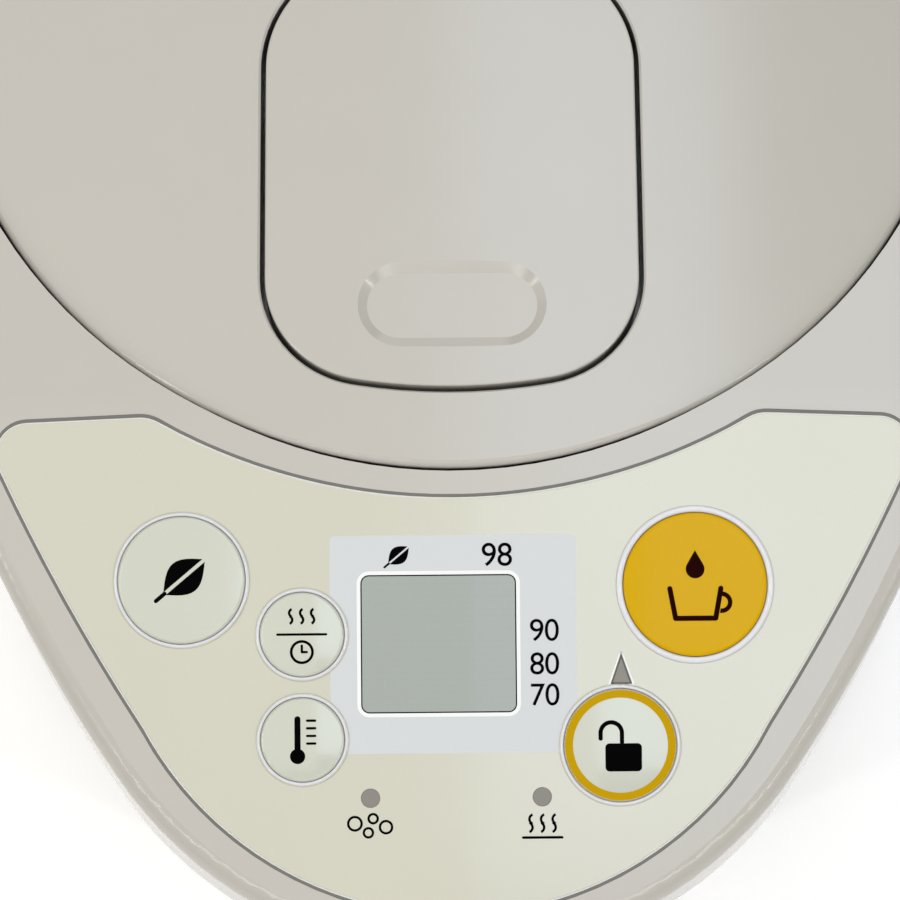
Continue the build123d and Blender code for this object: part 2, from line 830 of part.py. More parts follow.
def make_button(name, at, radius):
    """Domed cap through the panel, with a flange behind it and a stem down to its switch."""
    centre = panel_plane.from_local_coords(Vector(*at, 0))
    upright = Plane(origin=centre, x_dir=(1, 0, 0), z_dir=panel_plane.y_dir * -1)
    edge_z = button_rise - button_dome_radius
    inner = radius - button_dome_radius
    flange = radius + button_flange
    with BuildPart() as cap:
        with BuildSketch(upright):
            with BuildLine():
                ThreePointArc(
                    (0, button_rise + button_dome_radius / 2),
                    (inner / 2, button_rise + 3 / 8 * button_dome_radius),
                    (inner, button_rise),
                )
                RadiusArc((inner, button_rise), (radius, edge_z), button_dome_radius)
                Polyline(
                    (radius, edge_z),
                    (radius, -flange_top),
                    (flange, -flange_top),
                    (flange, -flange_top - button_flange_thickness),
                    (button_stem_radius, -flange_top - button_flange_thickness),
                    (button_stem_radius, -stem_low),
                    (0, -stem_low),
                    (0, button_rise + button_dome_radius / 2),
                )
            make_face()
        revolve(axis=Axis(centre, panel_normal))
    save(cap, name)


for button_name, (button_at, button_radius, collar) in buttons.items():
    make_button(button_name, button_at, button_radius)

# ---------------------------------------------------------------- water gauge

with BuildPart() as gauge_window:
    half = gauge_half_width - seat_clearance
    inner = case_inner - gauge_flange
    tube(case_radius + gauge_rise, inner, gauge_low + seat_clearance, gauge_high - seat_clearance)
    block((-half, half), (-BIG / 2, 0), (0, ring_top), mode=Mode.INTERSECT)
    front_face = gauge_window.faces().sort_by(Axis.Y)[0]
    fillet(front_face.edges(), gauge_rise / 2)
    flange_half = gauge_half_width + gauge_flange
    with BuildPart(mode=Mode.PRIVATE) as window_flange:
        tube(case_inner - seat_clearance, inner, gauge_low - gauge_flange, gauge_high + gauge_flange)
        block((-flange_half, flange_half), (-BIG / 2, 0), (0, ring_top), mode=Mode.INTERSECT)
    add(window_flange.part)
save(gauge_window, "gauge_window")

with BuildPart() as gauge_tube:
    tube(gauge_tube_radius, gauge_tube_bore, gauge_tube_low, gauge_tube_high, at=(0, gauge_y))
save(gauge_tube, "gauge_tube")

with BuildPart() as gauge_backplate:
    plate_back = -wrap_outer - seat_clearance
    plate_half = gauge_half_width + gauge_flange / 2
    plate = (plate_back - backplate_thickness, plate_back)
    block((-plate_half, plate_half), plate, (gauge_low, gauge_high))
save(gauge_backplate, "gauge_backplate")

# ---------------------------------------------------------------- water way


def sweep_pipe(points, bend, outer, inner):
    """Pipe along a bent route of straight runs and tangent arcs."""
    with BuildLine() as route:
        FilletPolyline(*points, radius=bend)
    start = Plane(origin=route.line @ 0, z_dir=route.line % 0)
    with BuildSketch(start) as section:
        Circle(outer)
        Circle(inner, mode=Mode.SUBTRACT)
    sweep(section.sketch, path=route.line)


valve_wall = valve_radius - valve_bore

with BuildPart() as spout_pipe:
    sweep_pipe(
        [
            (0, gauge_y, gauge_tube_high - pipe_radius),
            (0, gauge_y, spout_level),
            (0, valve_y + valve_radius - valve_wall / 2, spout_level),
        ],
        pipe_bend,
        pipe_radius,
        pipe_bore,
    )
save(spout_pipe, "spout_pipe")

with BuildPart() as tip_valve_housing:
    disc(valve_radius, valve_low, valve_high, at=(0, valve_y))
    disc(valve_bore, valve_low + plastic_wall, valve_high - plastic_wall, at=(0, valve_y), mode=Mode.SUBTRACT)
    with BuildSketch(Plane(origin=(0, valve_y - valve_radius, spout_level), z_dir=(0, 1, 0))):
        Circle(pipe_radius + seat_clearance)
    extrude(amount=2 * valve_radius, mode=Mode.SUBTRACT)
save(tip_valve_housing, "tip_valve_housing")

with BuildPart() as tip_valve_ball:
    with Locations((0, valve_y, valve_low + plastic_wall + ball_radius)):
        Sphere(ball_radius)
save(tip_valve_ball, "tip_valve_ball")

with BuildPart() as spout_nozzle:
    sweep_pipe(
        [
            (0, valve_y - valve_radius + valve_wall / 2, spout_level),
            (0, spout_y, spout_level),
            (0, spout_y, nozzle_low),
        ],
        pipe_bend,
        pipe_radius,
        pipe_bore,
    )
    tube(nozzle_radius, pipe_bore, nozzle_low, nozzle_low + nozzle_flare_height, at=(0, spout_y))
    flare_edges = spout_nozzle.edges().filter_by_position(Axis.Z, nozzle_low, nozzle_low + nozzle_flare_height)
    round_edges = flare_edges.filter_by(GeomType.CIRCLE)
    fillet([e for e in round_edges if e.radius > pipe_radius + nozzle_edge_radius / 2], nozzle_edge_radius)
save(spout_nozzle, "spout_nozzle")

# ---------------------------------------------------------------- vessel and heater

with BuildPart() as vessel_inside:
    disc(vessel_radius, vessel_bottom, vessel_rim + 1)
    fillet(vessel_inside.edges().group_by(Axis.Z)[0], case_lap)

with BuildPart() as inner_vessel:
    disc(vessel_outer, vessel_bottom - vessel_wall, vessel_rim)
    fillet(inner_vessel.edges().group_by(Axis.Z)[0], case_lap + vessel_wall)
    disc(vessel_radius + vessel_flange, vessel_rim - vessel_wall, vessel_rim)
    add(vessel_inside.part, mode=Mode.SUBTRACT)
    bore = outlet_radius - outlet_lip
    disc(bore, vessel_bottom - 1, vessel_bottom + 1, at=(0, pump_y), mode=Mode.SUBTRACT)
save(inner_vessel, "inner_vessel")

with BuildPart() as vessel_gasket:
    tube(vessel_radius + vessel_flange, vessel_radius + 2, vessel_rim, well_floor_low)
save(vessel_gasket, "vessel_gasket")

with BuildPart() as insulation_wrap:
    tube(wrap_outer, wrap_inner, vessel_bottom + 2, wrap_high)
save(insulation_wrap, "insulation_wrap")

heater_top = vessel_bottom - vessel_wall - seat_clearance
heater_low = heater_top - heater_thickness
clamp_top = heater_low - seat_clearance
clamp_low = clamp_top - clamp_thickness
clamp_radius = -pump_y - pipe_radius - clamp_tube_gap
stud_circle = clamp_radius - heater_rim / 2
heater_radius = stud_circle - heater_rim
leg_angle = 90

with BuildPart() as main_heater:
    tube(heater_radius, heater_bore, heater_low, heater_top)
save(main_heater, "main_heater")

with BuildPart() as heater_clamp:
    tube(clamp_radius, sensor_radius + seat_clearance, clamp_low, clamp_top)
    with BuildSketch(Plane.XY.offset(clamp_low)):
        with PolarLocations(stud_circle, leg_count, start_angle=leg_angle):
            Circle(spindle_radius + 0.5)
    extrude(amount=heater_top - clamp_low)
save(heater_clamp, "heater_clamp")

with BuildPart() as thermistor:
    disc(sensor_radius, heater_top - sensor_height, heater_top)
    disc(sensor_radius / 2, heater_top - sensor_height - 3, heater_top - sensor_height)
save(thermistor, "thermistor")

with BuildPart() as thermal_fuse:
    fuse_radius = screw_radius
    fuse_z = clamp_low - seat_clearance - fuse_radius
    rod_x(fuse_radius, (-fuse_half_length, fuse_half_length), heater_radius / 2, fuse_z)
save(thermal_fuse, "thermal_fuse")

with BuildPart() as vessel_supports:
    plate_r = wrap_outer + leg_clearance
    with BuildSketch(Plane.XY.offset(base_top)):
        with PolarLocations(plate_r + leg_thickness / 2, leg_count, start_angle=leg_angle):
            Rectangle(leg_thickness, leg_width)
    extrude(amount=heater_top - base_top)
    foot_reach = case_inner - plastic_wall - 1
    with BuildSketch(Plane.XY.offset(base_top)):
        with PolarLocations((plate_r + foot_reach) / 2, leg_count, start_angle=leg_angle):
            Rectangle(foot_reach - plate_r, leg_width)
    extrude(amount=leg_thickness)
    shelf_reach = stud_circle + 1.5 * heater_rim
    with BuildSketch(Plane.XY.offset(heater_top - leg_thickness)):
        with PolarLocations((plate_r + shelf_reach) / 2, leg_count, start_angle=leg_angle):
            Rectangle(plate_r - shelf_reach, leg_width)
    extrude(amount=leg_thickness)
save(vessel_supports, "vessel_supports")

# ---------------------------------------------------------------- pump

pump_at = (0, pump_y)
pump_top = pump_low + pump_height
pump_level = pump_low + pump_height / 2
motor_low = cover_top + seat_clearance
motor_top = motor_low + motor_height
magnet_low = motor_top + rotor_gap
port_radius = pipe_radius + seat_clearance

with BuildPart() as pump_housing:
    tube(pump_radius, pump_radius - pump_wall, cover_top + seat_clearance, pump_top - pump_floor, at=pump_at)
    disc(pump_radius - pump_wall / 2, pump_low, pump_low + pump_floor, at=pump_at)
    disc(spindle_radius, pump_low, pump_top - 2 * pump_floor, at=pump_at)
    port = Plane(origin=(0, pump_y - pump_radius - 1, pump_level), z_dir=(0, 1, 0))
    with BuildSketch(port):
        Circle(port_radius)
    extrude(amount=pump_wall + 2, mode=Mode.SUBTRACT)
save(pump_housing, "pump_housing")

with BuildPart() as pump_cover:
    tube(pump_radius, port_radius, pump_top - pump_floor, pump_top, at=pump_at)
save(pump_cover, "pump_cover")

with BuildPart() as impeller:
    plate_low = pump_low + pump_floor + body_clearance
    bore = spindle_radius + running_clearance
    disc(impeller_radius, plate_low, plate_low + 2, at=pump_at)
    disc(spindle_radius + 2, plate_low, pump_top - 3 * pump_floor, at=pump_at)
    with BuildSketch(Plane((0, pump_y, plate_low))):
        with PolarLocations(impeller_radius / 2 + 1, 6):
            Rectangle(impeller_radius - 3, vane_thickness)
    extrude(amount=vane_height)
    disc(bore, plate_low, pump_top, at=pump_at, mode=Mode.SUBTRACT)
save(impeller, "impeller")

with BuildPart() as drive_magnet:
    disc(impeller_radius, magnet_low, magnet_low + magnet_height, at=pump_at)
    disc(spindle_radius, motor_low + motor_height / 2, magnet_low, at=pump_at)
save(drive_magnet, "drive_magnet")

with BuildPart() as pump_motor:
    disc(motor_radius, motor_low, motor_top, at=pump_at)
    bore = spindle_radius + running_clearance
    disc(bore, motor_low + motor_height / 2 - body_clearance, motor_top, at=pump_at, mode=Mode.SUBTRACT)
save(pump_motor, "pump_motor")

with BuildPart() as inlet_tube:
    tube(pipe_radius, pipe_bore, pump_top - pump_floor, vessel_bottom, at=pump_at)
save(inlet_tube, "inlet_tube")

with BuildPart() as feed_tube:
    sweep_pipe(
        [
            (0, pump_y - pump_radius + pump_wall / 2, pump_level),
            (0, gauge_y, pump_level),
            (0, gauge_y, gauge_low - gauge_flange - body_clearance),
        ],
        pipe_bend,
        pipe_radius,
        pipe_bore,
    )
save(feed_tube, "feed_tube")

# ---------------------------------------------------------------- power parts at the back

with BuildPart() as power_board:
    half = power_board_half_width
    board_back = math.sqrt((case_inner - seat_clearance) ** 2 - half**2)
    board_front = board_back - power_board_thickness
    block((-half, half), (board_front, board_back), (power_board_low, power_board_high))
    parts_front = wrap_outer + 1
    middle = (power_board_low + power_board_high) / 2
    margin = power_board_height / 12
    block((-half / 2, half / 4), (parts_front, board_front), (power_board_low + margin, middle - margin))
    block((half / 3, half * 0.8), (parts_front, board_front), (middle - margin / 2, middle + 1.5 * margin))
    block((-half * 0.6, -half / 5), (parts_front, board_front), (middle + 2 * margin, power_board_high - margin))
save(power_board, "power_board")

inlet_back = case_radius + gauge_rise
recess_floor = inlet_back - inlet_recess
inlet_level = (inlet_low + inlet_high) / 2

with BuildPart() as inlet_flange:
    flange_half = inlet_half_width + inlet_wall
    flange_z = (inlet_low - inlet_wall, inlet_high + inlet_wall)
    block((-flange_half, flange_half), (case_inner / 2, inlet_back), flange_z)
    disc(case_radius + seat_clearance, 0, ring_top, mode=Mode.SUBTRACT)

with BuildPart() as inlet_socket:
    socket_front = recess_floor - inlet_depth / 2
    block((-inlet_half_width, inlet_half_width), (socket_front, inlet_back), (inlet_low, inlet_high))
    add(inlet_flange.part)
    recess_half = inlet_half_width - inlet_wall
    recess_z = (inlet_low + inlet_wall, inlet_high - inlet_wall)
    block((-recess_half, recess_half), (recess_floor, inlet_back + 1), recess_z, mode=Mode.SUBTRACT)
    with BuildSketch(Plane(origin=(0, socket_front, inlet_level), x_dir=(1, 0, 0), z_dir=(0, 1, 0))):
        with GridLocations(inlet_pin_spacing, 1, 2, 1):
            Circle(inlet_pin_radius)
    extrude(amount=inlet_depth, mode=Mode.SUBTRACT)
save(inlet_socket, "inlet_socket")

with BuildPart() as contact_pins:
    with BuildSketch(Plane(origin=(0, socket_front, inlet_level), x_dir=(1, 0, 0), z_dir=(0, 1, 0))):
        with GridLocations(inlet_pin_spacing, 1, 2, 1):
            Circle(inlet_pin_radius)
    extrude(amount=inlet_depth)
save(contact_pins, "contact_pins")

# ---------------------------------------------------------------- lid

skirt_radius = lid_radius - lid_rim_step
skirt_top = lid_edge_z - lid_rim_height
hollow_radius = skirt_radius - lid_wall
knuckle = (-knuckle_half_width, knuckle_half_width)
lid_screw_circle = (plug_radius + skirt_radius) / 2
slot_half = ramp_half_width + slot_clearance
slot_y = (hook_ramp_y - 2 * finger_depth + 2, hook_ramp_y + hook_ramp_depth + hook_travel + 1)

with BuildPart() as lid_hollow:
    dome_solid(lid_wall, lid_skirt_low, hollow_radius)
    with BuildSketch(Plane.XY.offset(pocket_floor - pocket_floor_thickness)):
        draw_lever(lever_side_gap + lid_wall, lever_front_gap + lid_wall)
    extrude(amount=ring_height, mode=Mode.SUBTRACT)
    with BuildSketch(Plane.XY.offset(lid_skirt_low)):
        with PolarLocations(lid_screw_circle, 4, start_angle=45):
            Circle(screw_head_radius)
    extrude(amount=ring_height, mode=Mode.SUBTRACT)

with BuildPart() as lid_shell:
    dome_solid(0, skirt_top, lid_radius)
    lid_rim = lid_shell.edges().filter_by_position(Axis.Z, lid_edge_z - 0.1, lid_edge_z + 0.1)
    fillet(lid_rim, lid_edge_radius)
    disc(skirt_radius, lid_skirt_low, skirt_top)
    add(lid_hollow.part, mode=Mode.SUBTRACT)
    block(knuckle, (lid_radius - lid_rim_height, hinge_y), (hinge_z - knuckle_radius, hinge_z))
    rod_x(knuckle_radius, knuckle, hinge_y, hinge_z)
    rod_x(hinge_pin_radius + running_clearance, knuckle, hinge_y, hinge_z, mode=Mode.SUBTRACT)
    with BuildSketch(Plane.XY.offset(pocket_floor)):
        draw_lever(lever_side_gap, lever_front_gap)
    extrude(amount=ring_height, mode=Mode.SUBTRACT)
    frame_low = lid_height(lever_front - lever_front_gap) - lever_frame_bevel
    crown_edges = lid_shell.edges().filter_by(is_on_dome)
    chamfer([e for e in crown_edges if min((e @ 0).Z, (e @ 1).Z) > frame_low], lever_frame_bevel)
    block((-slot_half, slot_half), slot_y, (lid_skirt_low, pocket_floor + 1), mode=Mode.SUBTRACT)
    disc(vent_radius + seat_clearance, pocket_floor, ring_top + BIG / 4, at=(0, vent_y), mode=Mode.SUBTRACT)
    hook_slot = hook_half_width + body_clearance
    block(
        (-hook_slot, hook_slot),
        (-skirt_radius - 1, -hollow_radius + 3),
        (lid_skirt_low, hook_low + hook_thickness + body_clearance),
        mode=Mode.SUBTRACT,
    )
    pin_reach = lever_half_at(pivot_y) + lever_side_gap + lid_wall
    rod_x(pivot_radius, (-pin_reach, pin_reach), pivot_y, pivot_z, mode=Mode.SUBTRACT)
    with BuildSketch(Plane.XY.offset(lid_skirt_low)):
        with PolarLocations(lid_screw_circle, 4, start_angle=45):
            Circle(screw_radius)
    extrude(amount=screw_length - lid_base_thickness, mode=Mode.SUBTRACT)
save(lid_shell, "lid_shell")

with BuildPart() as lever_pin:
    rod_x(pivot_radius, (-pin_reach, pin_reach), pivot_y, pivot_z)
save(lever_pin, "lever_pin")

post_y = hook_rear + spring_length
with BuildPart() as lid_base:
    disc(skirt_radius, lid_base_low, lid_skirt_low)
    tube(plug_radius, plug_radius - plastic_wall, plug_low, lid_base_low)
    pad_top = hook_low - body_clearance
    hook_pad = (-hook_half_width, hook_half_width)
    block(hook_pad, (-hollow_radius + 1, post_y), (lid_skirt_low, pad_top))
    post_top = pocket_floor - pocket_floor_thickness - seat_clearance
    block((-ramp_half_width, ramp_half_width), (post_y, post_y + spring_post_thickness), (lid_skirt_low, post_top))
    disc(steam_pipe_radius + seat_clearance, plug_low, lid_skirt_low, at=(0, vent_y), mode=Mode.SUBTRACT)
    with BuildSketch(Plane.XY.offset(lid_base_low)):
        with PolarLocations(lid_screw_circle, 4, start_angle=45):
            Circle(screw_radius)
    extrude(amount=lid_base_thickness, mode=Mode.SUBTRACT)
    with BuildSketch(Plane.XY.offset(lid_base_low)):
        with PolarLocations(lid_screw_circle, 4, start_angle=45):
            Circle(screw_head_radius + seat_clearance)
    extrude(amount=lid_base_thickness / 2, mode=Mode.SUBTRACT)
save(lid_base, "lid_base")

with BuildPart() as lid_screws:
    with BuildSketch(Plane.XY.offset(lid_base_low)):
        with PolarLocations(lid_screw_circle, 4, start_angle=45):
            Circle(screw_radius)
    extrude(amount=screw_length)
    with BuildSketch(Plane.XY.offset(lid_base_low)):
        with PolarLocations(lid_screw_circle, 4, start_angle=45):
            Circle(screw_head_radius)
    extrude(amount=lid_base_thickness / 2)
save(lid_screws, "lid_screws")

with BuildPart() as inner_lid:
    disc(plug_radius + 0.5, plug_low - inner_lid_thickness, plug_low)
    fillet(inner_lid.edges().group_by(Axis.Z)[0], inner_lid_thickness / 2)
    with BuildSketch(Plane.XY.offset(plug_low - inner_lid_thickness)):
        with Locations((0, vent_y)):
            with PolarLocations(steam_pipe_bore / 2, 3):
                Circle(1.0)
    extrude(amount=inner_lid_thickness, mode=Mode.SUBTRACT)
save(inner_lid, "inner_lid")

with BuildPart() as lid_gasket:
    gasket_low = plug_low + seat_clearance
    gasket_high = gasket_low + lid_gasket_height
    gasket_inner = plug_radius + seat_clearance
    gasket_lip = vessel_radius - gasket_clearance
    with BuildSketch(Plane.XZ):
        with BuildLine():
            Polyline(
                (gasket_inner, gasket_low),
                (gasket_lip - gasket_flare, gasket_low),
                (gasket_lip, gasket_high - gasket_flare),
                (gasket_lip, gasket_high),
                (gasket_inner, gasket_high),
                close=True,
            )
        make_face()
    revolve(axis=Axis.Z)
save(lid_gasket, "lid_gasket")

vent_top = lid_height(vent_y) + vent_rise
with BuildPart() as steam_vent_cap:
    disc(vent_radius, pocket_floor + lid_wall, vent_top, at=(0, vent_y))
    fillet(steam_vent_cap.edges().group_by(Axis.Z)[-1], 1.0)
    with BuildSketch(Plane((0, vent_y, vent_top))):
        with GridLocations(1, 2 * vent_slot_width, 1, vent_slots):
            SlotOverall(vent_radius, vent_slot_width)
    extrude(amount=-lid_crown, mode=Mode.SUBTRACT)
save(steam_vent_cap, "steam_vent_cap")

with BuildPart() as steam_pipe:
    tube(steam_pipe_radius, steam_pipe_bore, plug_low, pocket_floor + lid_wall, at=(0, vent_y))
save(steam_pipe, "steam_pipe")

# ---------------------------------------------------------------- lid lever and lock

press = math.radians(lever_press)
finger_arm = pivot_y - hook_ramp_y
finger_drop = finger_arm * math.sin(press)
finger_shift = (pivot_z - finger_low) * math.sin(press)
ramp_slope = (hook_travel - finger_shift) / finger_drop
hook_top = hook_low + hook_thickness


def ramp_face(z):
    """Place along Y of the hook's sloping face at a height."""
    return hook_ramp_y + (z - hook_top) * ramp_slope


with BuildPart() as lever_hollow:
    dome_solid(lever_skin, lever_low, lid_radius)
    with BuildSketch(Plane.XY.offset(lever_low)):
        draw_lever(-lever_wall, -lever_wall)
    extrude(amount=ring_height, mode=Mode.INTERSECT)

with BuildPart() as recess_cutter:
    recess_plane = Plane((0, recess_y, lid_height(recess_y))).rotated((recess_slope, 0, 0))
    with BuildSketch(recess_plane.offset(-recess_depth)):
        SlotOverall(recess_length - 2 * recess_band, recess_width - 2 * recess_band)
    with BuildSketch(recess_plane):
        SlotOverall(recess_length, recess_width)
    loft()
    with BuildSketch(recess_plane):
        SlotOverall(recess_length, recess_width)
    extrude(amount=recess_depth)

with BuildPart() as lid_lever:
    dome_solid(0, lever_low, lid_radius)
    with BuildSketch(Plane.XY.offset(lever_low)):
        draw_lever()
    extrude(amount=ring_height, mode=Mode.INTERSECT)
    top_face = lid_lever.faces().sort_by(Axis.Z)[-1]
    fillet(top_face.edges(), lever_edge_radius)
    add(lever_hollow.part, mode=Mode.SUBTRACT)
    boss_outer = lever_half_at(pivot_y + pivot_boss_radius) - seat_clearance
    for side in (-1, 1):
        boss = sorted((side * boss_outer, side * (boss_outer - pivot_boss_length)))
        rod_x(pivot_boss_radius, boss, pivot_y, pivot_z)
    pin_bore = pivot_radius + running_clearance
    rod_x(pin_bore, (-lever_half_width - 1, lever_half_width + 1), pivot_y, pivot_z, mode=Mode.SUBTRACT)
    face_gap = body_clearance * math.hypot(1, ramp_slope)
    finger_top = lid_height(hook_ramp_y) - lever_skin + lever_edge_radius
    bend_z = finger_low + finger_depth
    with BuildSketch(Plane.YZ.offset(-ramp_half_width)):
        with BuildLine():
            Polyline(
                (ramp_face(finger_low) - face_gap - finger_depth, finger_low),
                (ramp_face(finger_low) - face_gap, finger_low),
                (ramp_face(bend_z) - face_gap, bend_z),
                (ramp_face(bend_z) - face_gap, finger_top),
                (ramp_face(finger_low) - face_gap - finger_depth, finger_top),
                close=True,
            )
        make_face()
    extrude(amount=2 * ramp_half_width)
    add(recess_cutter.part, mode=Mode.SUBTRACT)
save(lid_lever, "lid_lever")

with BuildPart() as lid_hook:
    block((-hook_half_width, hook_half_width), (hook_front, hook_rear), (hook_low, hook_top))
    with BuildSketch(Plane.YZ.offset(-ramp_half_width)):
        with BuildLine():
            Polyline(
                (ramp_face(hook_top), hook_top),
                (ramp_face(hook_ramp_top), hook_ramp_top),
                (hook_ramp_y + hook_ramp_depth, hook_ramp_top),
                (hook_ramp_y + hook_ramp_depth, hook_top),
                close=True,
            )
        make_face()
    extrude(amount=2 * ramp_half_width)
save(lid_hook, "lid_hook")

with BuildPart() as hook_spring:
    spring_z = hook_low + hook_thickness / 2
    coil_start = hook_rear + seat_clearance + spring_wire / 2
    coil_length = spring_length - 2 * seat_clearance - spring_wire
    coil = Helix(
        pitch=coil_length / spring_turns,
        height=coil_length,
        radius=spring_radius,
        center=(0, coil_start, spring_z),
        direction=(0, 1, 0),
        mode=Mode.PRIVATE,
    )
    with BuildSketch(Plane(origin=coil @ 0, z_dir=coil % 0)):
        Circle(spring_wire / 2)
    sweep(path=coil, is_frenet=True)
save(hook_spring, "hook_spring")

# ---------------------------------------------------------------- carrying handle

arm_inner = ring_radius + handle_gap
arm_outer = arm_inner + handle_thickness
arm_end = -handle_height / 2


def draw_bail(half_width, reach):
    """One contour of the bail in plan: two straight arms joined by half an ellipse."""
    with BuildLine() as outline:
        Line((half_width, arm_end), (half_width, handle_straight))
        EllipticalCenterArc((0, handle_straight), half_width, reach, arc_size=180)
        Line((-half_width, handle_straight), (-half_width, arm_end))
        Line((-half_width, arm_end), (half_width, arm_end))
    make_face(outline.line)


with BuildPart() as bail_space:
    with BuildSketch(Plane.XY.offset(handle_z - handle_height)):
        draw_bail(arm_inner, handle_inner_reach)
    extrude(amount=2 * handle_height)

with BuildPart() as handle:
    with BuildSketch(Plane.XY.offset(handle_z - handle_height / 2)):
        draw_bail(arm_outer, handle_outer_reach)
    extrude(amount=handle_height)
    add(bail_space.part, mode=Mode.SUBTRACT)
    end_edges = handle.edges().filter_by(Axis.X).group_by(Axis.Y)[0]
    fillet(end_edges, handle_height / 2 - 0.1)
    long_edges = [e for e in handle.edges() if e.center().Y > handle_straight]
    fillet(long_edges, handle_edge_radius)
    reach = arm_outer + 1
    rod_x(pivot_pin_radius + running_clearance, (-reach, reach), 0, handle_z, mode=Mode.SUBTRACT)
save(handle, "handle")
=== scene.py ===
"""Looks of an electric thermo pot: finishes, printed marks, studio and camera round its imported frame."""

import json
import logging
import math
from contextlib import contextmanager
from dataclasses import dataclass, field
from enum import Enum
from typing import Callable, Iterator, Optional, Sequence

import bpy
from mathutils import Matrix, Vector

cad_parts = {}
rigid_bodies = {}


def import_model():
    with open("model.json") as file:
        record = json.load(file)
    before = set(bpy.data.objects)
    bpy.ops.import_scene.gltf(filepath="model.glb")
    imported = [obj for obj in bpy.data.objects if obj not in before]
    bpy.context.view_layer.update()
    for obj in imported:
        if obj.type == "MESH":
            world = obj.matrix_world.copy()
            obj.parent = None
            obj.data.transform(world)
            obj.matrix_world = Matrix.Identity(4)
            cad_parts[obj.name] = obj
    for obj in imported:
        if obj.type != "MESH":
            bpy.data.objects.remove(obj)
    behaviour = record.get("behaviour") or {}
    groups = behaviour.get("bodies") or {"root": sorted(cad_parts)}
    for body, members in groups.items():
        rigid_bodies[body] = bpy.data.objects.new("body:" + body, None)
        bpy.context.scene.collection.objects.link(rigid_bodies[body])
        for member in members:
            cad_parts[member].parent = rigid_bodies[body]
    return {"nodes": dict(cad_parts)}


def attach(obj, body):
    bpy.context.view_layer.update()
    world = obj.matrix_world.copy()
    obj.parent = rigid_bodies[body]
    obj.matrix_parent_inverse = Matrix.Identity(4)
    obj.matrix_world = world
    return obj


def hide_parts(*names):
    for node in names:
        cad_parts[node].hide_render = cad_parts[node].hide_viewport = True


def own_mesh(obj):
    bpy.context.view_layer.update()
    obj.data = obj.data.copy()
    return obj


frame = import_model()

log = logging.getLogger("thermo_pot")
Point = tuple[float, float]
Place = tuple[float, float, float]
Box = tuple[float, float, float, float]
Colour = tuple[float, float, float, float]
Piece = bpy.types.Object
Material = bpy.types.Material
Tree = bpy.types.NodeTree
Node = bpy.types.Node
Socket = bpy.types.NodeSocket

MM = 0.001
PANEL_TILT = math.radians(17.0)
PANEL_ORIGIN_MM = (0.0, -92.5, 257.7)
GAUGE_FOOT_MM = (0.0, 0.0, 62.0)
# Painted shade in narrow gaps: how far it looks for nearby surfaces, the openness at or under which the
# colour is wholly the shade colour, the openness from which it is untouched, and the shade colour.
PAINTED_SHADE_REACH_MM = 1.8
PAINTED_SHADE_FULL = 0.15
PAINTED_SHADE_NONE = 0.45
PAINTED_SHADE_COLOUR = "#050402"
MERGE_MM = 0.0005
SECTION_MERGE_MM = 0.001
CUTTER_DEPTH_MM = 2.0
# Height of the typeface's body over the height of its figures, and how closely they stand.
FIGURE_EM = 1.37
FIGURE_SPACING = 0.95
# Share of a line's width that the radius of its round ends takes, just short of where two corners meet.
ROUND_END = 0.499
ROUND_SIDES = 96


class Body(str, Enum):
    """Moving groups of the pot that a new piece rides on."""

    POT = "pot"
    LID = "lid"
    DISPENSE = "dispense_key"
    UNLOCK = "unlock_key"
    ENERGY = "energy_key"
    TIMER = "timer_key"
    TEMPERATURE = "temperature_key"


# ---------------- colours and nodes


def linear(colour: str) -> Colour:
    """Turns an sRGB hex colour into linear RGBA.

    Args:
        colour: Six hex digits, with or without a leading hash.

    Returns:
        The three linear channels, with full alpha.
    """
    digits = colour.lstrip("#")
    channels = [int(digits[i : i + 2], 16) / 255 for i in (0, 2, 4)]
    values = [c / 12.92 if c <= 0.04045 else ((c + 0.055) / 1.055) ** 2.4 for c in channels]
    return (values[0], values[1], values[2], 1.0)


def feed(tree: Tree, node: Node, sockets: dict) -> None:
    """Gives a node's inputs their values and their links.

    Args:
        tree: The node tree that holds the node.
        node: The node whose inputs are set.
        sockets: Input name or number to a value, or to an output socket to link.
    """
    for name, value in sockets.items():
        if isinstance(value, Socket):
            tree.links.new(value, node.inputs[name])
        else:
            node.inputs[name].default_value = value


def add_node(tree: Tree, kind: str, sockets: dict, **settings: object) -> Node:
    """Adds one shader node with its settings, its values and its links.

    Args:
        tree: The node tree that gets the node.
        kind: The node's type name.
        sockets: Input name or number to a value, or to an output socket to link.
        settings: Properties of the node itself.

    Returns:
        The new node.
    """
    made = tree.nodes.new(kind)
    for name, value in settings.items():
        setattr(made, name, value)
    feed(tree, made, sockets)
    return made


def new_material(name: str) -> tuple[Material, Tree, Node, Socket]:
    """Starts a material with an empty surface shader and object coordinates.

    Args:
        name: The material's name.

    Returns:
        The material, its tree, its principled shader and its object coordinates.
    """
    material = bpy.data.materials.new(name)
    material.use_nodes = True
    tree = material.node_tree
    tree.nodes.clear()
    shader = add_node(tree, "ShaderNodeBsdfPrincipled", {})
    add_node(tree, "ShaderNodeOutputMaterial", {"Surface": shader.outputs["BSDF"]})
    place = add_node(tree, "ShaderNodeTexCoord", {})
    return material, tree, shader, place.outputs["Object"]


def seam_shade(tree: Tree, colour: Socket) -> Socket:
    """Paints shade into a colour inside narrow gaps, darker the more enclosed a point is.

    Args:
        tree: The material's node tree.
        colour: The colour without painted shade.

    Returns:
        The colour with painted shade in its gaps.
    """
    shelter = add_node(tree, "ShaderNodeAmbientOcclusion", {"Distance": PAINTED_SHADE_REACH_MM * MM}, samples=8)
    span = {"Value": shelter.outputs["AO"], "From Min": PAINTED_SHADE_FULL, "From Max": PAINTED_SHADE_NONE}
    open_share = add_node(tree, "ShaderNodeMapRange", span)
    tones = {"Factor": open_share.outputs["Result"], "A": linear(PAINTED_SHADE_COLOUR), "B": colour}
    return add_node(tree, "ShaderNodeMix", tones, data_type="RGBA").outputs["Result"]


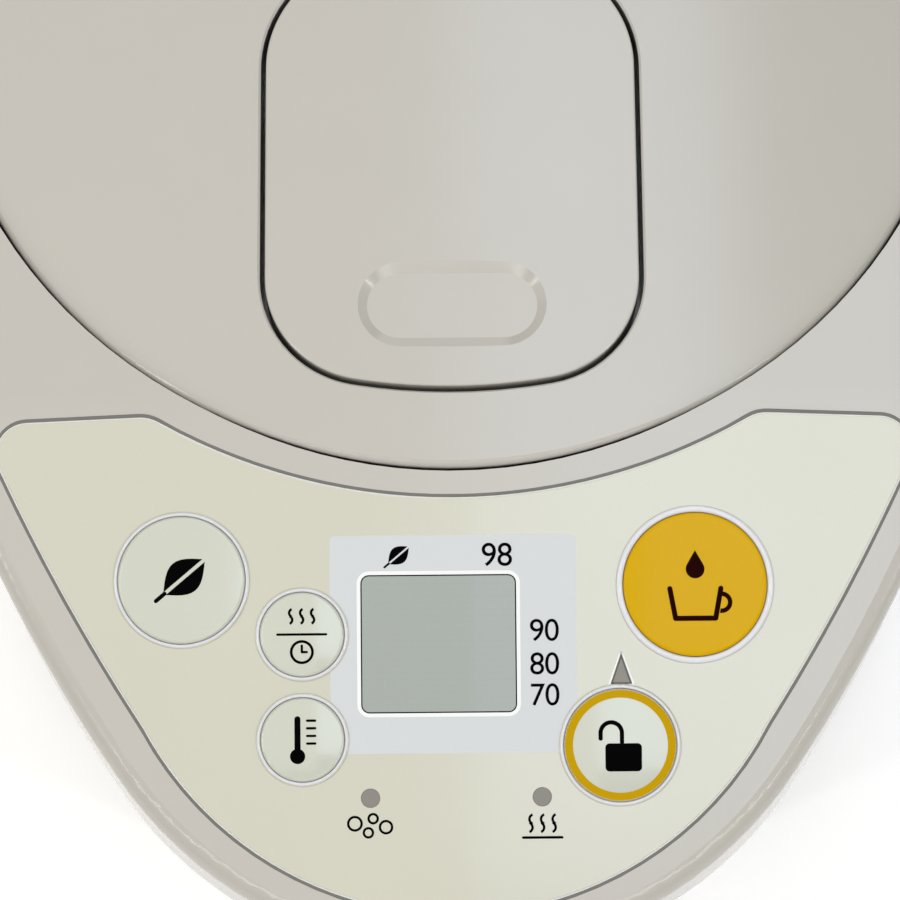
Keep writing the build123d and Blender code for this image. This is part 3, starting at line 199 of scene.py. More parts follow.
def per_metre(size_mm: float) -> float:
    """Scale that gives a pattern one repeat per size, in millimetres."""
    return 1.0 / (size_mm * MM)


# ---------------- finishes


@dataclass(frozen=True)
class Finish:
    """What a piece is made of and how its surface was made."""

    name: str

    def build(self) -> Material:
        """Makes the material, which each kind of finish does in its own way."""
        raise NotImplementedError


@dataclass(frozen=True)
class MouldedPlastic(Finish):
    """Injection-moulded plastic: one colour, a skin with a faint ripple, a slight mottling of gloss, and
    painted shade in narrow gaps unless turned off.
    """

    colour: str
    shade: str
    roughness: float = 0.3
    gloss_range: Point = (0.85, 1.15)
    ripple_mm: float = 14.0
    ripple_depth_mm: float = 0.01
    ripple_detail: float = 3.0
    grain_mm: float = 0.5
    grain_depth_mm: float = 0.002
    grain_detail: float = 2.0
    ior: float = 1.5
    # Whether the colour gets painted shade in narrow gaps.
    seams: bool = True

    def build(self) -> Material:
        """Makes the material.

        Returns:
            The moulded plastic.
        """
        material, tree, shader, where = new_material(self.name)
        patterns = []
        for size, detail in ((self.ripple_mm, self.ripple_detail), (self.grain_mm, self.grain_detail)):
            pattern = {"Vector": where, "Scale": per_metre(size), "Detail": detail}
            patterns.append(add_node(tree, "ShaderNodeTexNoise", pattern).outputs["Fac"])
        ripple, grain = patterns
        tones = {"Factor": ripple, "A": linear(self.colour), "B": linear(self.shade)}
        colour = add_node(tree, "ShaderNodeMix", tones, data_type="RGBA")
        low, high = (self.roughness * share for share in self.gloss_range)
        gloss = add_node(tree, "ShaderNodeMapRange", {"Value": grain, "To Min": low, "To Max": high})
        wave = {"Height": ripple, "Strength": 1.0, "Distance": self.ripple_depth_mm * MM}
        skin = {"Height": grain, "Strength": 1.0, "Distance": self.grain_depth_mm * MM}
        skin["Normal"] = add_node(tree, "ShaderNodeBump", wave).outputs["Normal"]
        unshaded = colour.outputs["Result"]
        # Painted shade darkens the colour in narrow gaps.
        shown = seam_shade(tree, unshaded) if self.seams else unshaded
        relief = add_node(tree, "ShaderNodeBump", skin).outputs["Normal"]
        worn = gloss.outputs["Result"]
        feed(tree, shader, {"Base Color": shown, "Roughness": worn, "Normal": relief, "IOR": self.ior})
        return material


@dataclass(frozen=True)
class PearlFilm(Finish):
    """Polycarbonate film printed with pearl ink on its back: fine bright flakes under a clear gloss."""

    colour: str
    flake: str
    roughness: float = 0.12
    gloss_range: Point = (1.0, 1.3)
    flake_mm: float = 0.12
    cloud_mm: float = 30.0
    ior: float = 1.58
    coat: float = 0.35
    coat_roughness: float = 0.04

    def build(self) -> Material:
        """Makes the material.

        Returns:
            The pearl film.
        """
        material, tree, shader, where = new_material(self.name)
        cells = add_node(tree, "ShaderNodeTexVoronoi", {"Vector": where, "Scale": per_metre(self.flake_mm)})
        flakes = cells.outputs["Distance"]
        pattern = {"Vector": where, "Scale": per_metre(self.cloud_mm), "Detail": 1.0}
        cloud = add_node(tree, "ShaderNodeTexNoise", pattern).outputs["Fac"]
        mixed = add_node(tree, "ShaderNodeMath", {0: flakes, 1: cloud}, operation="MULTIPLY")
        tones = {"Factor": mixed.outputs["Value"], "A": linear(self.colour), "B": linear(self.flake)}
        colour = add_node(tree, "ShaderNodeMix", tones, data_type="RGBA")
        low, high = (self.roughness * share for share in self.gloss_range)
        gloss = add_node(tree, "ShaderNodeMapRange", {"Value": flakes, "To Min": low, "To Max": high})
        feed(tree, shader, {"Base Color": colour.outputs["Result"], "Roughness": gloss.outputs["Result"]})
        coat = {"Coat Weight": self.coat, "Coat Roughness": self.coat_roughness}
        feed(tree, shader, {"IOR": self.ior, **coat})
        return material


@dataclass(frozen=True)
class FleckedCoat(Finish):
    """Sprayed non-stick coat on steel: an even film with fine pale flecks and an orange-peel skin."""

    colour: str
    fleck: str
    fleck_mm: float = 0.9
    fleck_core: float = 0.1
    fleck_rim: float = 0.25
    peel_mm: float = 1.6
    peel_strength: float = 0.5
    peel_depth_mm: float = 0.03
    roughness: float = 0.38

    def build(self) -> Material:
        """Makes the material.

        Returns:
            The flecked coat.
        """
        material, tree, shader, where = new_material(self.name)
        cells = add_node(tree, "ShaderNodeTexVoronoi", {"Vector": where, "Scale": per_metre(self.fleck_mm)})
        fade = {"From Min": self.fleck_core, "From Max": self.fleck_rim, "To Min": 1.0, "To Max": 0.0}
        span = {"Value": cells.outputs["Distance"], **fade}
        share = add_node(tree, "ShaderNodeMapRange", span).outputs["Result"]
        tones = {"Factor": share, "A": linear(self.colour), "B": linear(self.fleck)}
        colour = add_node(tree, "ShaderNodeMix", tones, data_type="RGBA").outputs["Result"]
        pattern = {"Vector": where, "Scale": per_metre(self.peel_mm), "Detail": 2.0}
        peel = add_node(tree, "ShaderNodeTexNoise", pattern).outputs["Fac"]
        skin = {"Height": peel, "Strength": self.peel_strength, "Distance": self.peel_depth_mm * MM}
        relief = add_node(tree, "ShaderNodeBump", skin).outputs["Normal"]
        feed(tree, shader, {"Base Color": colour, "Normal": relief, "Roughness": self.roughness})
        return material


@dataclass(frozen=True)
class RuledLacquer(Finish):
    """An even colour ruled with thin darker lines, under a clear gloss."""

    colour: str
    line: str
    repeat_mm: float
    line_share: float
    roughness: float
    coat: float = 0.4
    coat_roughness: float = 0.03

    def build(self) -> Material:
        """Makes the material.

        Returns:
            The ruled lacquer.
        """
        material, tree, shader, where = new_material(self.name)
        tones = dict.fromkeys(("Color1", "Color2"), linear(self.colour)) | {"Mortar": linear(self.line)}
        ruling = {"Vector": where, "Scale": per_metre(self.repeat_mm), "Mortar Size": self.line_share}
        cells = add_node(tree, "ShaderNodeTexBrick", tones | ruling)
        feed(tree, shader, {"Base Color": cells.outputs["Color"], "Roughness": self.roughness})
        feed(tree, shader, {"Coat Weight": self.coat, "Coat Roughness": self.coat_roughness})
        return material


@dataclass(frozen=True)
class GrainedSurface(Finish):
    """A surface whose tone, gloss and relief follow one grain; without a shade it has one even tone."""

    colour: str
    shade: Optional[str] = None
    roughness: float = 0.5
    grain_mm: float = 1.0
    lay: Place = (1.0, 1.0, 1.0)
    detail: float = 2.0
    coarseness: float = 0.5
    gloss_range: Optional[Point] = None
    relief: float = 1.0
    depth_mm: float = 0.0
    metallic: float = 0.0
    sheen: float = 0.0
    alpha: float = 1.0
    ior: float = 1.5

    def build(self) -> Material:
        """Makes the material.

        Returns:
            The grained surface.
        """
        material, tree, shader, where = new_material(self.name)
        laid = add_node(tree, "ShaderNodeMapping", {"Vector": where, "Scale": self.lay})
        pattern = {"Scale": per_metre(self.grain_mm), "Detail": self.detail, "Roughness": self.coarseness}
        noise = add_node(tree, "ShaderNodeTexNoise", {"Vector": laid.outputs["Vector"], **pattern})
        grain = noise.outputs["Fac"]
        inputs = {
            "Base Color": linear(self.colour),
            "Roughness": self.roughness,
            "Metallic": self.metallic,
            "Sheen Weight": self.sheen,
            "Alpha": self.alpha,
            "IOR": self.ior,
        }
        if self.shade:
            tones = {"Factor": grain, "A": linear(self.colour), "B": linear(self.shade)}
            mixed = add_node(tree, "ShaderNodeMix", tones, data_type="RGBA")
            inputs["Base Color"] = mixed.outputs["Result"]
        if self.gloss_range:
            low, high = (self.roughness * share for share in self.gloss_range)
            gloss = add_node(tree, "ShaderNodeMapRange", {"Value": grain, "To Min": low, "To Max": high})
            inputs["Roughness"] = gloss.outputs["Result"]
        if self.depth_mm:
            lift = {"Height": grain, "Strength": self.relief, "Distance": self.depth_mm * MM}
            inputs["Normal"] = add_node(tree, "ShaderNodeBump", lift).outputs["Normal"]
        feed(tree, shader, inputs)
        return material


@dataclass(frozen=True)
class BrushedMetal(GrainedSurface):
    """Metal brushed one way: short bright scratches along the brushing, soft stretched highlights."""

    roughness: float = 0.3
    grain_mm: float = 0.25
    detail: float = 4.0
    gloss_range: Optional[Point] = (0.8, 1.25)
    relief: float = 0.4
    depth_mm: float = 0.01
    metallic: float = 1.0


@dataclass(frozen=True)
class SoftRubber(GrainedSurface):
    """Moulded silicone or rubber: matt, with a dusty sheen and a fine pitted skin."""

    roughness: float = 0.6
    grain_mm: float = 0.8
    detail: float = 4.0
    relief: float = 0.6
    depth_mm: float = 0.03
    sheen: float = 0.2
    ior: float = 1.43


@dataclass(frozen=True)
class NeedledFelt(GrainedSurface):
    """Matted mineral fibres or flakes, darker in their hollows, with a rough, open surface."""

    roughness: float = 0.95
    grain_mm: float = 1.2
    lay: Place = (1.0, 1.0, 0.3)
    detail: float = 6.0
    coarseness: float = 0.7
    depth_mm: float = 0.4
    sheen: float = 0.4


@dataclass(frozen=True)
class ClearPlastic(GrainedSurface):
    """Clear moulded polycarbonate: a thin see-through wall with a polished, faintly rippled skin."""

    roughness: float = 0.04
    grain_mm: float = 18.0
    detail: float = 1.0
    relief: float = 0.3
    depth_mm: float = 0.02
    alpha: float = 0.22
    ior: float = 1.58


@dataclass(frozen=True)
class ScreenInk(GrainedSurface):
    """Screen-printing ink: an opaque even film whose tone varies a little with the mesh it passed."""

    roughness: float = 0.35
    grain_mm: float = 0.2
    ior: float = 1.06


# Moulded ABS in warm grey: a satin skin that shows the lights as soft bands, with painted shade darkening
# it in its gaps.
SHELL_ABS = MouldedPlastic(
    "abs_warm_grey_moulded", "#beb9af", "#bbb6ac", 0.17, ripple_depth_mm=0.004, grain_depth_mm=0.0006
)
# Moulded ABS in orange: deep even colour with hardly any haze, so the one key for pouring stands out.
KEY_ORANGE = MouldedPlastic("abs_orange_key", "#d4a600", "#d0a200", 0.1, ripple_mm=40.0, ior=1.18)
# Acrylic key caps over pearl ink: milky, with the panel's own sparkle.
KEY_CREAM = PearlFilm("acrylic_pearl_key", "#c2c3b2", "#cbccbc")
# Printed polycarbonate film: cream pearl that runs from warm to cool as the lights cross it.
PANEL_PEARL = PearlFilm("polycarbonate_pearl_film", "#c5c2ae", "#cdcab9")
# Pale glossy bead along the film's cut edge: its pale colour is a painted highlight, a thin bright line
# between the film and the grey seam line.
PAINTED_EDGE_HIGHLIGHT = MouldedPlastic(
    "pale_painted_edge_highlight", "#dedcd6", "#d8d6d0", 0.08,
    ripple_depth_mm=0.0, grain_depth_mm=0.0, seams=False,
)
# Grey bead laid in the seam round the film: its grey is painted shade of the groove, a dull soft line that
# frames the panel.
PAINTED_SEAM_SHADE = MouldedPlastic("grey_painted_seam_shade", "#6f6c65", "#6a6760", 0.45, grain_mm=0.2, seams=False)
# White acrylic rings: glossy, each with a small highlight that turns round its key; their white is partly a
# painted highlight, for the light a clear rim catches.
BEZEL_WHITE_AND_HIGHLIGHT = MouldedPlastic(
    "acrylic_white_bezel_and_painted_highlight", "#dddcdf", "#d8d7da", 0.06,
    ripple_depth_mm=0.0, grain_depth_mm=0.0005, seams=False,
)
# Smoked acrylic over an unlit lamp: a flat grey spot with a little depth.
LAMP_DIFFUSER = MouldedPlastic("acrylic_smoked_lamp", "#857f76", "#807a71", grain_mm=0.2, seams=False)
# Spark-eroded charcoal ABS: a coarse matt grain that hides scuffs under the pot.
DARK_ABS = MouldedPlastic("abs_charcoal_textured", "#3a3936", "#33322f", 0.5, grain_depth_mm=0.02)
# Undyed polypropylene: waxy off-white with a dull sheen, for the parts inside.
PALE_PP = MouldedPlastic("polypropylene_natural", "#d3d0c8", "#cbc8bf", 0.45)
# Black nylon of the small switches: nearly no shine.
SWITCH_NYLON = MouldedPlastic("nylon_black_switch", "#1c1c1c", "#232323", 0.5)
# Steel sheet under champagne lacquer: upright hairlines and tall blurred highlights on the drum.
CASE_STEEL = BrushedMetal(
    "steel_sheet_champagne_coated", "#bdb6aa", "#b4ada1", 0.34, lay=(1.0, 1.0, 0.015), metallic=0.55
)
# Spun stainless steel: rings of fine turning marks.
STAINLESS = BrushedMetal("stainless_spun_vessel", "#c4c2bd", "#aaa8a3", 0.26, lay=(0.05, 0.05, 1.0))
# Inner lid, brushed straight across: one soft bright bar that moves with the light.
LID_STEEL = BrushedMetal("stainless_brushed_lid", "#c8c6c1", "#b0aea9", lay=(1.0, 0.03, 1.0))
# Non-stick lining of the vessel: warm mid grey with pale flecks.
VESSEL_COAT = FleckedCoat("fluoropolymer_coat_vessel", "#77746e", "#a5a29b")
# Cold-drawn steel of pins, screws, spring and ball: bright, with lines along the drawing.
BRIGHT_STEEL = BrushedMetal("steel_bright_drawn", "#bcbbb8", "#9e9d9a", 0.22, lay=(0.05, 1.0, 1.0))
# Die-cast aluminium: greyer and duller than steel, with an even cast grain.
MOTOR_ALUMINIUM = BrushedMetal("aluminium_die_cast", "#9fa09f", "#8b8c8b", 0.42)
# Clear polycarbonate of the gauge: see-through, with bright edges and faint flow ripples.
GAUGE_CLEAR = ClearPlastic("polycarbonate_clear_gauge", "#f2f5f3")
# Milky silicone: soft and dusty, for tubes, seals and the spout's tip.
SILICONE = SoftRubber("silicone_milky", "#d9d8d2", "#cfcec8")
# Charcoal rubber of the foot: matt and pitted, so the pot looks planted.
FOOT_RUBBER = SoftRubber("rubber_charcoal_foot", "#343331", "#2b2a28")
# Glass-fibre felt round the vessel: fuzzy off-white with loose fibres.
GLASS_FELT = NeedledFelt("glass_fibre_felt", "#bdb9ae", "#e3e0d8")
# Mica paper of the heater: brown flaky layers.
MICA = NeedledFelt("mica_paper_heater", "#6b5436", "#8d7350", grain_mm=3.0)
# Lacquered glass-epoxy: green over darker tracks.
BOARD = RuledLacquer("epoxy_board_green", "#1e5b34", "#174527", 12.0, 0.03, 0.4)
# Liquid crystal under glass, switched off: even grey with a faint grid and a mirror-like top.
DISPLAY = RuledLacquer("liquid_crystal_grey", "#9ba098", "#949991", 4.0, 0.004, 0.35)
# Screen-printing inks: thin opaque films that take hardly any shine, so black stays black under the lights.
INK_BLACK = ScreenInk("screen_ink_black", "#020202", "#040404")
INK_MAROON = ScreenInk("screen_ink_maroon", "#1c0302", "#220503")
INK_WHITE = ScreenInk("screen_ink_white", "#f3f2ee", "#efeeea")
INK_PALE = ScreenInk("screen_ink_pale_grey", "#d4d5d4", "#d0d1d0")
INK_GREY = ScreenInk("screen_ink_grey", "#66615b", "#6b6660")
# Gold ink is a little smoother, from its fine metal powder.
INK_GOLD = ScreenInk("screen_ink_gold", "#c39a08", "#bd9405", 0.25)
# Paper sweep of the studio: a matt white ground that hardly shows its fibres.
SWEEP_PAPER = GrainedSurface("paper_sweep_white", "#f4f3f1", "#f0efed", 0.8, grain_mm=2.0, detail=4.0)

FINISH_OF_NODE: dict[Finish, tuple[str, ...]] = {
    SHELL_ABS: (
        "shoulder_frame", "lid_shell", "lid_lever", "nose_cover", "handle", "base_housing", "inlet_socket",
        "steam_vent_cap",
    ),
    PANEL_PEARL: ("control_panel",),
    KEY_CREAM: ("energy_button", "timer_button", "temperature_button", "unlock_button"),
    KEY_ORANGE: ("dispense_button",),
    LAMP_DIFFUSER: ("lamp_lenses",),
    DISPLAY: ("lcd_window",),
    CASE_STEEL: ("outer_case",),
    VESSEL_COAT: ("inner_vessel",),
    LID_STEEL: ("inner_lid",),
    STAINLESS: ("steam_pipe", "vessel_supports", "heater_clamp"),
    BRIGHT_STEEL: (
        "hinge_pin", "lever_pin", "hook_spring", "base_screws", "lid_screws", "contact_pins",
        "tip_valve_ball",
    ),
    MOTOR_ALUMINIUM: ("pump_motor", "drive_magnet", "thermistor", "thermal_fuse"),
    DARK_ABS: ("turntable_clip", "bottom_cover"),
    FOOT_RUBBER: ("foot_ring",),
    PALE_PP: (
        "turntable", "lid_base", "lid_hook", "pivot_pins", "pump_housing", "pump_cover",
        "tip_valve_housing", "gauge_backplate", "impeller", "lcd_module",
    ),
    GAUGE_CLEAR: ("gauge_window", "gauge_tube"),
    SILICONE: ("vessel_gasket", "lid_gasket", "spout_pipe", "spout_nozzle", "inlet_tube", "feed_tube"),
    GLASS_FELT: ("insulation_wrap",),
    MICA: ("main_heater",),
    BOARD: ("control_board", "power_board"),
    SWITCH_NYLON: ("tact_switches",),
}


class FinishShop:
    """Makes each finish once and puts it on the pieces that have it."""

    def __init__(self) -> None:
        """Starts with no finish made."""
        self.made: dict[Finish, Material] = {}

    def get(self, finish: Finish) -> Material:
        """Makes a finish on its first use and keeps it.

        Args:
            finish: The finish that is asked for.

        Returns:
            Its material.
        """
        if finish not in self.made:
            self.made[finish] = finish.build()
        return self.made[finish]

    def dress_frame(self) -> None:
        """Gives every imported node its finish."""
        for finish, nodes in FINISH_OF_NODE.items():
            for name in nodes:
                for slot in frame["nodes"][name].material_slots:
                    slot.material = self.get(finish)
            log.info("finish %s on %d nodes", finish.name, len(nodes))

    def dress(self, piece: Piece, finish: Finish) -> None:
        """Gives a new piece its finish as its only material."""
        piece.data.materials.clear()
        piece.data.materials.append(self.get(finish))


# ---------------- shaping


@contextmanager
def editing(everything: bool = True) -> Iterator[None]:
    """Opens edit mode on the active piece, and closes it afterwards.

    Args:
        everything: Whether all of the piece is selected first.

    Yields:
        Nothing, while edit mode is open.
    """
    bpy.ops.object.mode_set(mode="EDIT")
    if everything:
        bpy.ops.mesh.select_all(action="SELECT")
    yield
    bpy.ops.object.mode_set(mode="OBJECT")


def modify(piece: Piece, kind: str, **settings: object) -> None:
    """Shapes the active piece with one modifier and applies it.

    Args:
        piece: The active piece.
        kind: The modifier's type name.
        settings: Properties of the modifier.
    """
    tool = piece.modifiers.new(kind.lower(), kind)
    for name, value in settings.items():
        setattr(tool, name, value)
    bpy.ops.object.modifier_apply(modifier=tool.name)


def add_object(name: str, data: bpy.types.ID) -> bpy.types.Object:
    """Adds an object to the scene.

    Args:
        name: Its name.
        data: Its mesh, light or camera.

    Returns:
        The object.
    """
    made = bpy.data.objects.new(name, data)
    bpy.context.scene.collection.objects.link(made)
    return made


def settle(piece: Piece, name: str, place: Matrix) -> None:
    """Puts the selected piece in its place, carries the place into its mesh and names it.

    Args:
        piece: The selected piece, shaped in its own millimetres.
        name: The piece's name.
        place: From the piece's millimetres to metres in the row frame.
    """
    piece.matrix_world = place
    bpy.ops.object.transform_apply()
    piece.name = piece.data.name = name


def sheet_matrix(origin_mm: Place, x_axis: Place, y_axis: Place) -> Matrix:
    """Matrix from millimetres on a flat sheet to metres in the row frame.

    Args:
        origin_mm: The sheet's origin in the row frame, in millimetres.
        x_axis: Unit vector of the sheet's x.
        y_axis: Unit vector of the sheet's y.

    Returns:
        The 4 by 4 matrix, with the sheet's normal as its third axis.
    """
    x, y = Vector(x_axis), Vector(y_axis)
    columns = (x, y, x.cross(y))
    matrix = Matrix.Identity(4)
    for i in range(3):
        for j in range(3):
            matrix[j][i] = columns[i][j] * MM
        matrix[i][3] = origin_mm[i] * MM
    return matrix


PANEL_SHEET = sheet_matrix(PANEL_ORIGIN_MM, (1, 0, 0), (0, math.cos(PANEL_TILT), math.sin(PANEL_TILT)))
GAUGE_SHEET = sheet_matrix(GAUGE_FOOT_MM, (1, 0, 0), (0, 0, 1))


# ---------------- flat printed marks


@dataclass
class FlatPrint:
    """Flat marks drawn in millimetres round a zero on a sheet, then joined, thickened and placed."""

    name: str
    shop: FinishShop
    sheet: Matrix = field(default_factory=lambda: PANEL_SHEET)
    zero: Point = (0.0, 0.0)
    marks: list[Piece] = field(default_factory=list)
    cutters: list[Piece] = field(default_factory=list)

    def at(self, x: float, y: float) -> Place:
        """Place on the sheet of a point of the drawing."""
        return (self.zero[0] + x, self.zero[1] + y, 0.0)

    def keep(self) -> Piece:
        """Takes the operator's new object as a mark.

        Returns:
            The mark.
        """
        mark = bpy.context.object
        self.marks.append(mark)
        return mark

    def dot(self, x: float, y: float, radius: float) -> None:
        """Draws a filled round mark.

        Args:
            x: Centre across.
            y: Centre up.
            radius: Radius of the mark.
        """
        place = self.at(x, y)
        bpy.ops.mesh.primitive_circle_add(vertices=48, radius=radius, fill_type="NGON", location=place)
        self.keep()

    def band(
        self, x: float, y: float, radius: float, pen: float, start: float = 0.0, sweep: float = 360.0
    ) -> None:
        """Draws part of a ring.

        Args:
            x: Centre across.
            y: Centre up.
            radius: Middle of the band.
            pen: Width of the band.
            start: First angle in degrees, from +x.
            sweep: Angle covered, in degrees.
        """
        steps = max(6, int(abs(sweep) / 5))
        bpy.ops.mesh.primitive_grid_add(x_subdivisions=steps, y_subdivisions=2, size=2)
        centre = self.at(x, y)
        for vertex in self.keep().data.vertices:
            angle = math.radians(start + sweep * (vertex.co.x + 1) / 2)
            reach = radius - vertex.co.y * pen / 2
            vertex.co = (centre[0] + reach * math.cos(angle), centre[1] + reach * math.sin(angle), 0)

    def plate(self, box: Box, corner: float, steps: int = 8) -> None:
        """Draws a filled rectangle with round corners.

        Args:
            box: Its centre across and up, and its size across and up.
            corner: Radius of the corners.
            steps: Straight pieces that make up a corner.
        """
        x, y, width, height = box
        bpy.ops.mesh.primitive_plane_add(size=1, location=self.at(x, y))
        self.keep().scale = (width, height, 1)
        bpy.ops.object.transform_apply(location=False, rotation=False, scale=True)
        with editing():
            bpy.ops.mesh.bevel(offset=corner, segments=steps, affect="VERTICES")

    def stroke(self, line: Box, pen: float) -> None:
        """Draws a straight line with round ends.

        Args:
            line: Its first end across and up, and its second end across and up.
            pen: Width of the line.
        """
        x0, y0, x1, y1 = line
        length = math.hypot(x1 - x0, y1 - y0) + pen
        self.plate(((x0 + x1) / 2, (y0 + y1) / 2, length, pen), pen * ROUND_END, 5)
        self.marks[-1].rotation_euler.z = math.atan2(y1 - y0, x1 - x0)

    def outline(self, points: Sequence[Point]) -> None:
        """Draws a filled outline.

        Args:
            points: Its corners, counter-clockwise.
        """
        bpy.ops.mesh.primitive_circle_add(vertices=len(points), radius=1, fill_type="NGON")
        mesh = self.keep().data
        for corner, point in zip(list(mesh.polygons[0].vertices), points):
            mesh.vertices[corner].co = self.at(*point)

    def frame_plate(self, box: Box, corner: float, rim: float) -> None:
        """Draws the rim of a rectangle with round corners.

        Args:
            box: Its centre across and up, and its size across and up.
            corner: Radius of the corners.
            rim: Width of the rim.
        """
        self.plate(box, corner)
        with editing():
            bpy.ops.mesh.select_mode(type="FACE")
            bpy.ops.mesh.select_all(action="SELECT")
            bpy.ops.mesh.inset(thickness=rim, depth=0)
            bpy.ops.mesh.delete(type="FACE")

    def cut_dot(self, x: float, y: float, radius: float) -> None:
        """Keeps a round place free of ink.

        Args:
            x: Centre across.
            y: Centre up.
            radius: Radius of the place.
        """
        size = {"radius": radius, "depth": CUTTER_DEPTH_MM, "location": self.at(x, y)}
        bpy.ops.mesh.primitive_cylinder_add(vertices=ROUND_SIDES, **size)
        bpy.ops.object.transform_apply()
        self.cutters.append(bpy.context.object)

    def cut_plate(self, box: Box, corner: float) -> None:
        """Keeps a rectangle with round corners free of ink.

        Args:
            box: Its centre across and up, and its size across and up.
            corner: Radius of the corners.
        """
        self.plate(box, corner)
        cutter = self.marks.pop()
        bpy.ops.object.transform_apply()
        modify(cutter, "SOLIDIFY", thickness=CUTTER_DEPTH_MM, offset=0.0)
        self.cutters.append(cutter)

    def digits(self, text: str, x: float, y: float, height: float) -> None:
        """Draws plain figures, centred on a point.

        Args:
            text: The figures.
            x: Centre across.
            y: Centre up.
            height: Height of the figures.
        """
        bpy.ops.object.text_add(location=self.at(x, y))
        letters = bpy.context.object.data
        letters.body = text
        letters.align_x = letters.align_y = "CENTER"
        letters.size = height * FIGURE_EM
        letters.space_character = FIGURE_SPACING
        bpy.ops.object.convert(target="MESH")
        self.keep()

    def leaf(self, x: float, y: float, size: float) -> None:
        """Draws a leaf with its midrib left open.

        Args:
            x: Centre across.
            y: Centre up.
            size: Half of the leaf's length.
        """
        belly, rib, stalk, stalk_pen = 0.62, 0.07, 1.45, 0.16
        lean = math.radians(40)
        cos, sin = math.cos(lean), math.sin(lean)
        for side in (-1, 1):
            along = [-1 + i / 6 for i in range(13)]
            blade = [(a, side * (belly * math.cos(a * math.pi / 2) + rib)) for a in along]
            blade += [(1.0, side * rib), (-1.0, side * rib)]
            turned = [(x + size * (a * cos - b * sin), y + size * (a * sin + b * cos)) for a, b in blade]
            self.outline(turned if side < 0 else turned[::-1])
        foot = (x - size * stalk * cos, y - size * stalk * sin)
        self.stroke((*foot, x - size * cos, y - size * sin), size * stalk_pen)

    def steam(self, x: float, pitch: float, levels: Point, radius: float, sway: float) -> None:
        """Draws three curls of steam side by side.

        Args:
            x: Middle of the three, across.
            pitch: From one curl to the next.
            levels: Centres up of the upper and the lower bow.
            radius: Radius of a bow.
            sway: How far a bow's centre lies beside the curl.
        """
        for i in (-1, 0, 1):
            self.band(x + i * pitch + sway, levels[0], radius, 0.42, 110, 140)
            self.band(x + i * pitch - sway, levels[1], radius, 0.42, -70, 140)

    def finish(
        self,
        body: Body,
        ink: Finish,
        lift_mm: float = 0.02,
        depth_mm: float = 0.03,
        drape: Optional[Callable[[float, float], float]] = None,
    ) -> None:
        """Joins the marks, gives them thickness and lays them on their sheet.

        Args:
            body: What the print rides on.
            ink: Its ink.
            lift_mm: How far its face stands over the sheet.
            depth_mm: How far it reaches down from its face.
            drape: Height over the sheet at a point, for a curved surface.
        """
        bpy.ops.object.select_all(action="DESELECT")
        for mark in self.marks:
            mark.select_set(True)
        bpy.context.view_layer.objects.active = self.marks[0]
        bpy.ops.object.join()
        piece = bpy.context.object
        bpy.ops.object.transform_apply()
        if drape:
            with editing():
                bpy.ops.mesh.quads_convert_to_tris()
                bpy.ops.mesh.subdivide(number_cuts=2)
        for vertex in piece.data.vertices:
            height = drape(vertex.co.x, vertex.co.y) if drape else 0.0
            vertex.co.z = height + lift_mm
        with editing():
            bpy.ops.mesh.remove_doubles(threshold=MERGE_MM)
            bpy.ops.mesh.normals_make_consistent(inside=False)
        if piece.data.polygons[0].normal.z < 0:
            piece.data.flip_normals()
        modify(piece, "SOLIDIFY", thickness=depth_mm, offset=-1)
        for cutter in self.cutters:
            modify(piece, "BOOLEAN", operation="DIFFERENCE", solver="EXACT", object=cutter)
            bpy.data.objects.remove(cutter)
        settle(piece, self.name, self.sheet)
        self.shop.dress(piece, ink)
        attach(piece, body.value)
        log.info("print %s: %d faces", self.name, len(piece.data.polygons))


# ---------------- sub-assemblies


@dataclass(frozen=True)
class KeyCap:
    """Where a round key is on the panel, the dome its sign follows and the ring round it."""

    name: str
    x: float
    y: float
    radius: float
    rise: float = 0.7
    dome: float = 0.25
    edge: float = 0.5
    bezel: float = 0.62
    bezel_gap: float = 0.05
    bezel_rise: float = 0.45

    def height(self, x: float, y: float) -> float:
        """Height of the key's domed top and round edge over the panel.

        Args:
            x: Point across the panel.
            y: Point up the panel.

        Returns:
            The height at that point.
        """
        inner = self.radius - self.edge
        out = math.hypot(x - self.x, y - self.y)
        if out > inner:
            return self.rise - self.edge + math.sqrt(max(0.0, self.edge**2 - (out - inner) ** 2))
        share = out / inner
        return self.rise + self.dome * (1 - share * share)

    def bezel_radius(self) -> float:
        """Radius of the middle of the ring round the key."""
        return self.radius + self.bezel_gap + self.bezel / 2

    def start_print(self, part: str, shop: FinishShop) -> FlatPrint:
        """Starts a print that is drawn round the key's centre."""
        return FlatPrint(f"{self.name}_{part}", shop, zero=(self.x, self.y))

    def lay_bezel(self, shop: FinishShop) -> None:
        """Lays a half-round glossy white ring on the panel's collar round the key; its white is partly a
        painted highlight.

        Args:
            shop: Where the finish comes from.
        """
        bpy.ops.object.select_all(action="DESELECT")
        radii = {"major_radius": self.bezel_radius(), "minor_radius": self.bezel / 2}
        bpy.ops.mesh.primitive_torus_add(major_segments=ROUND_SIDES, minor_segments=16, **radii)
        ring = bpy.context.object
        ring.scale.z = 2 * self.bezel_rise / self.bezel
        ring.location = (self.x, self.y, 0.0)
        bpy.ops.object.transform_apply()
        bpy.ops.object.shade_smooth()
        settle(ring, f"{self.name}_bezel", PANEL_SHEET)
        shop.dress(ring, BEZEL_WHITE_AND_HIGHLIGHT)
        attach(ring, Body.POT.value)
        log.info("bezel round the %s key", self.name)


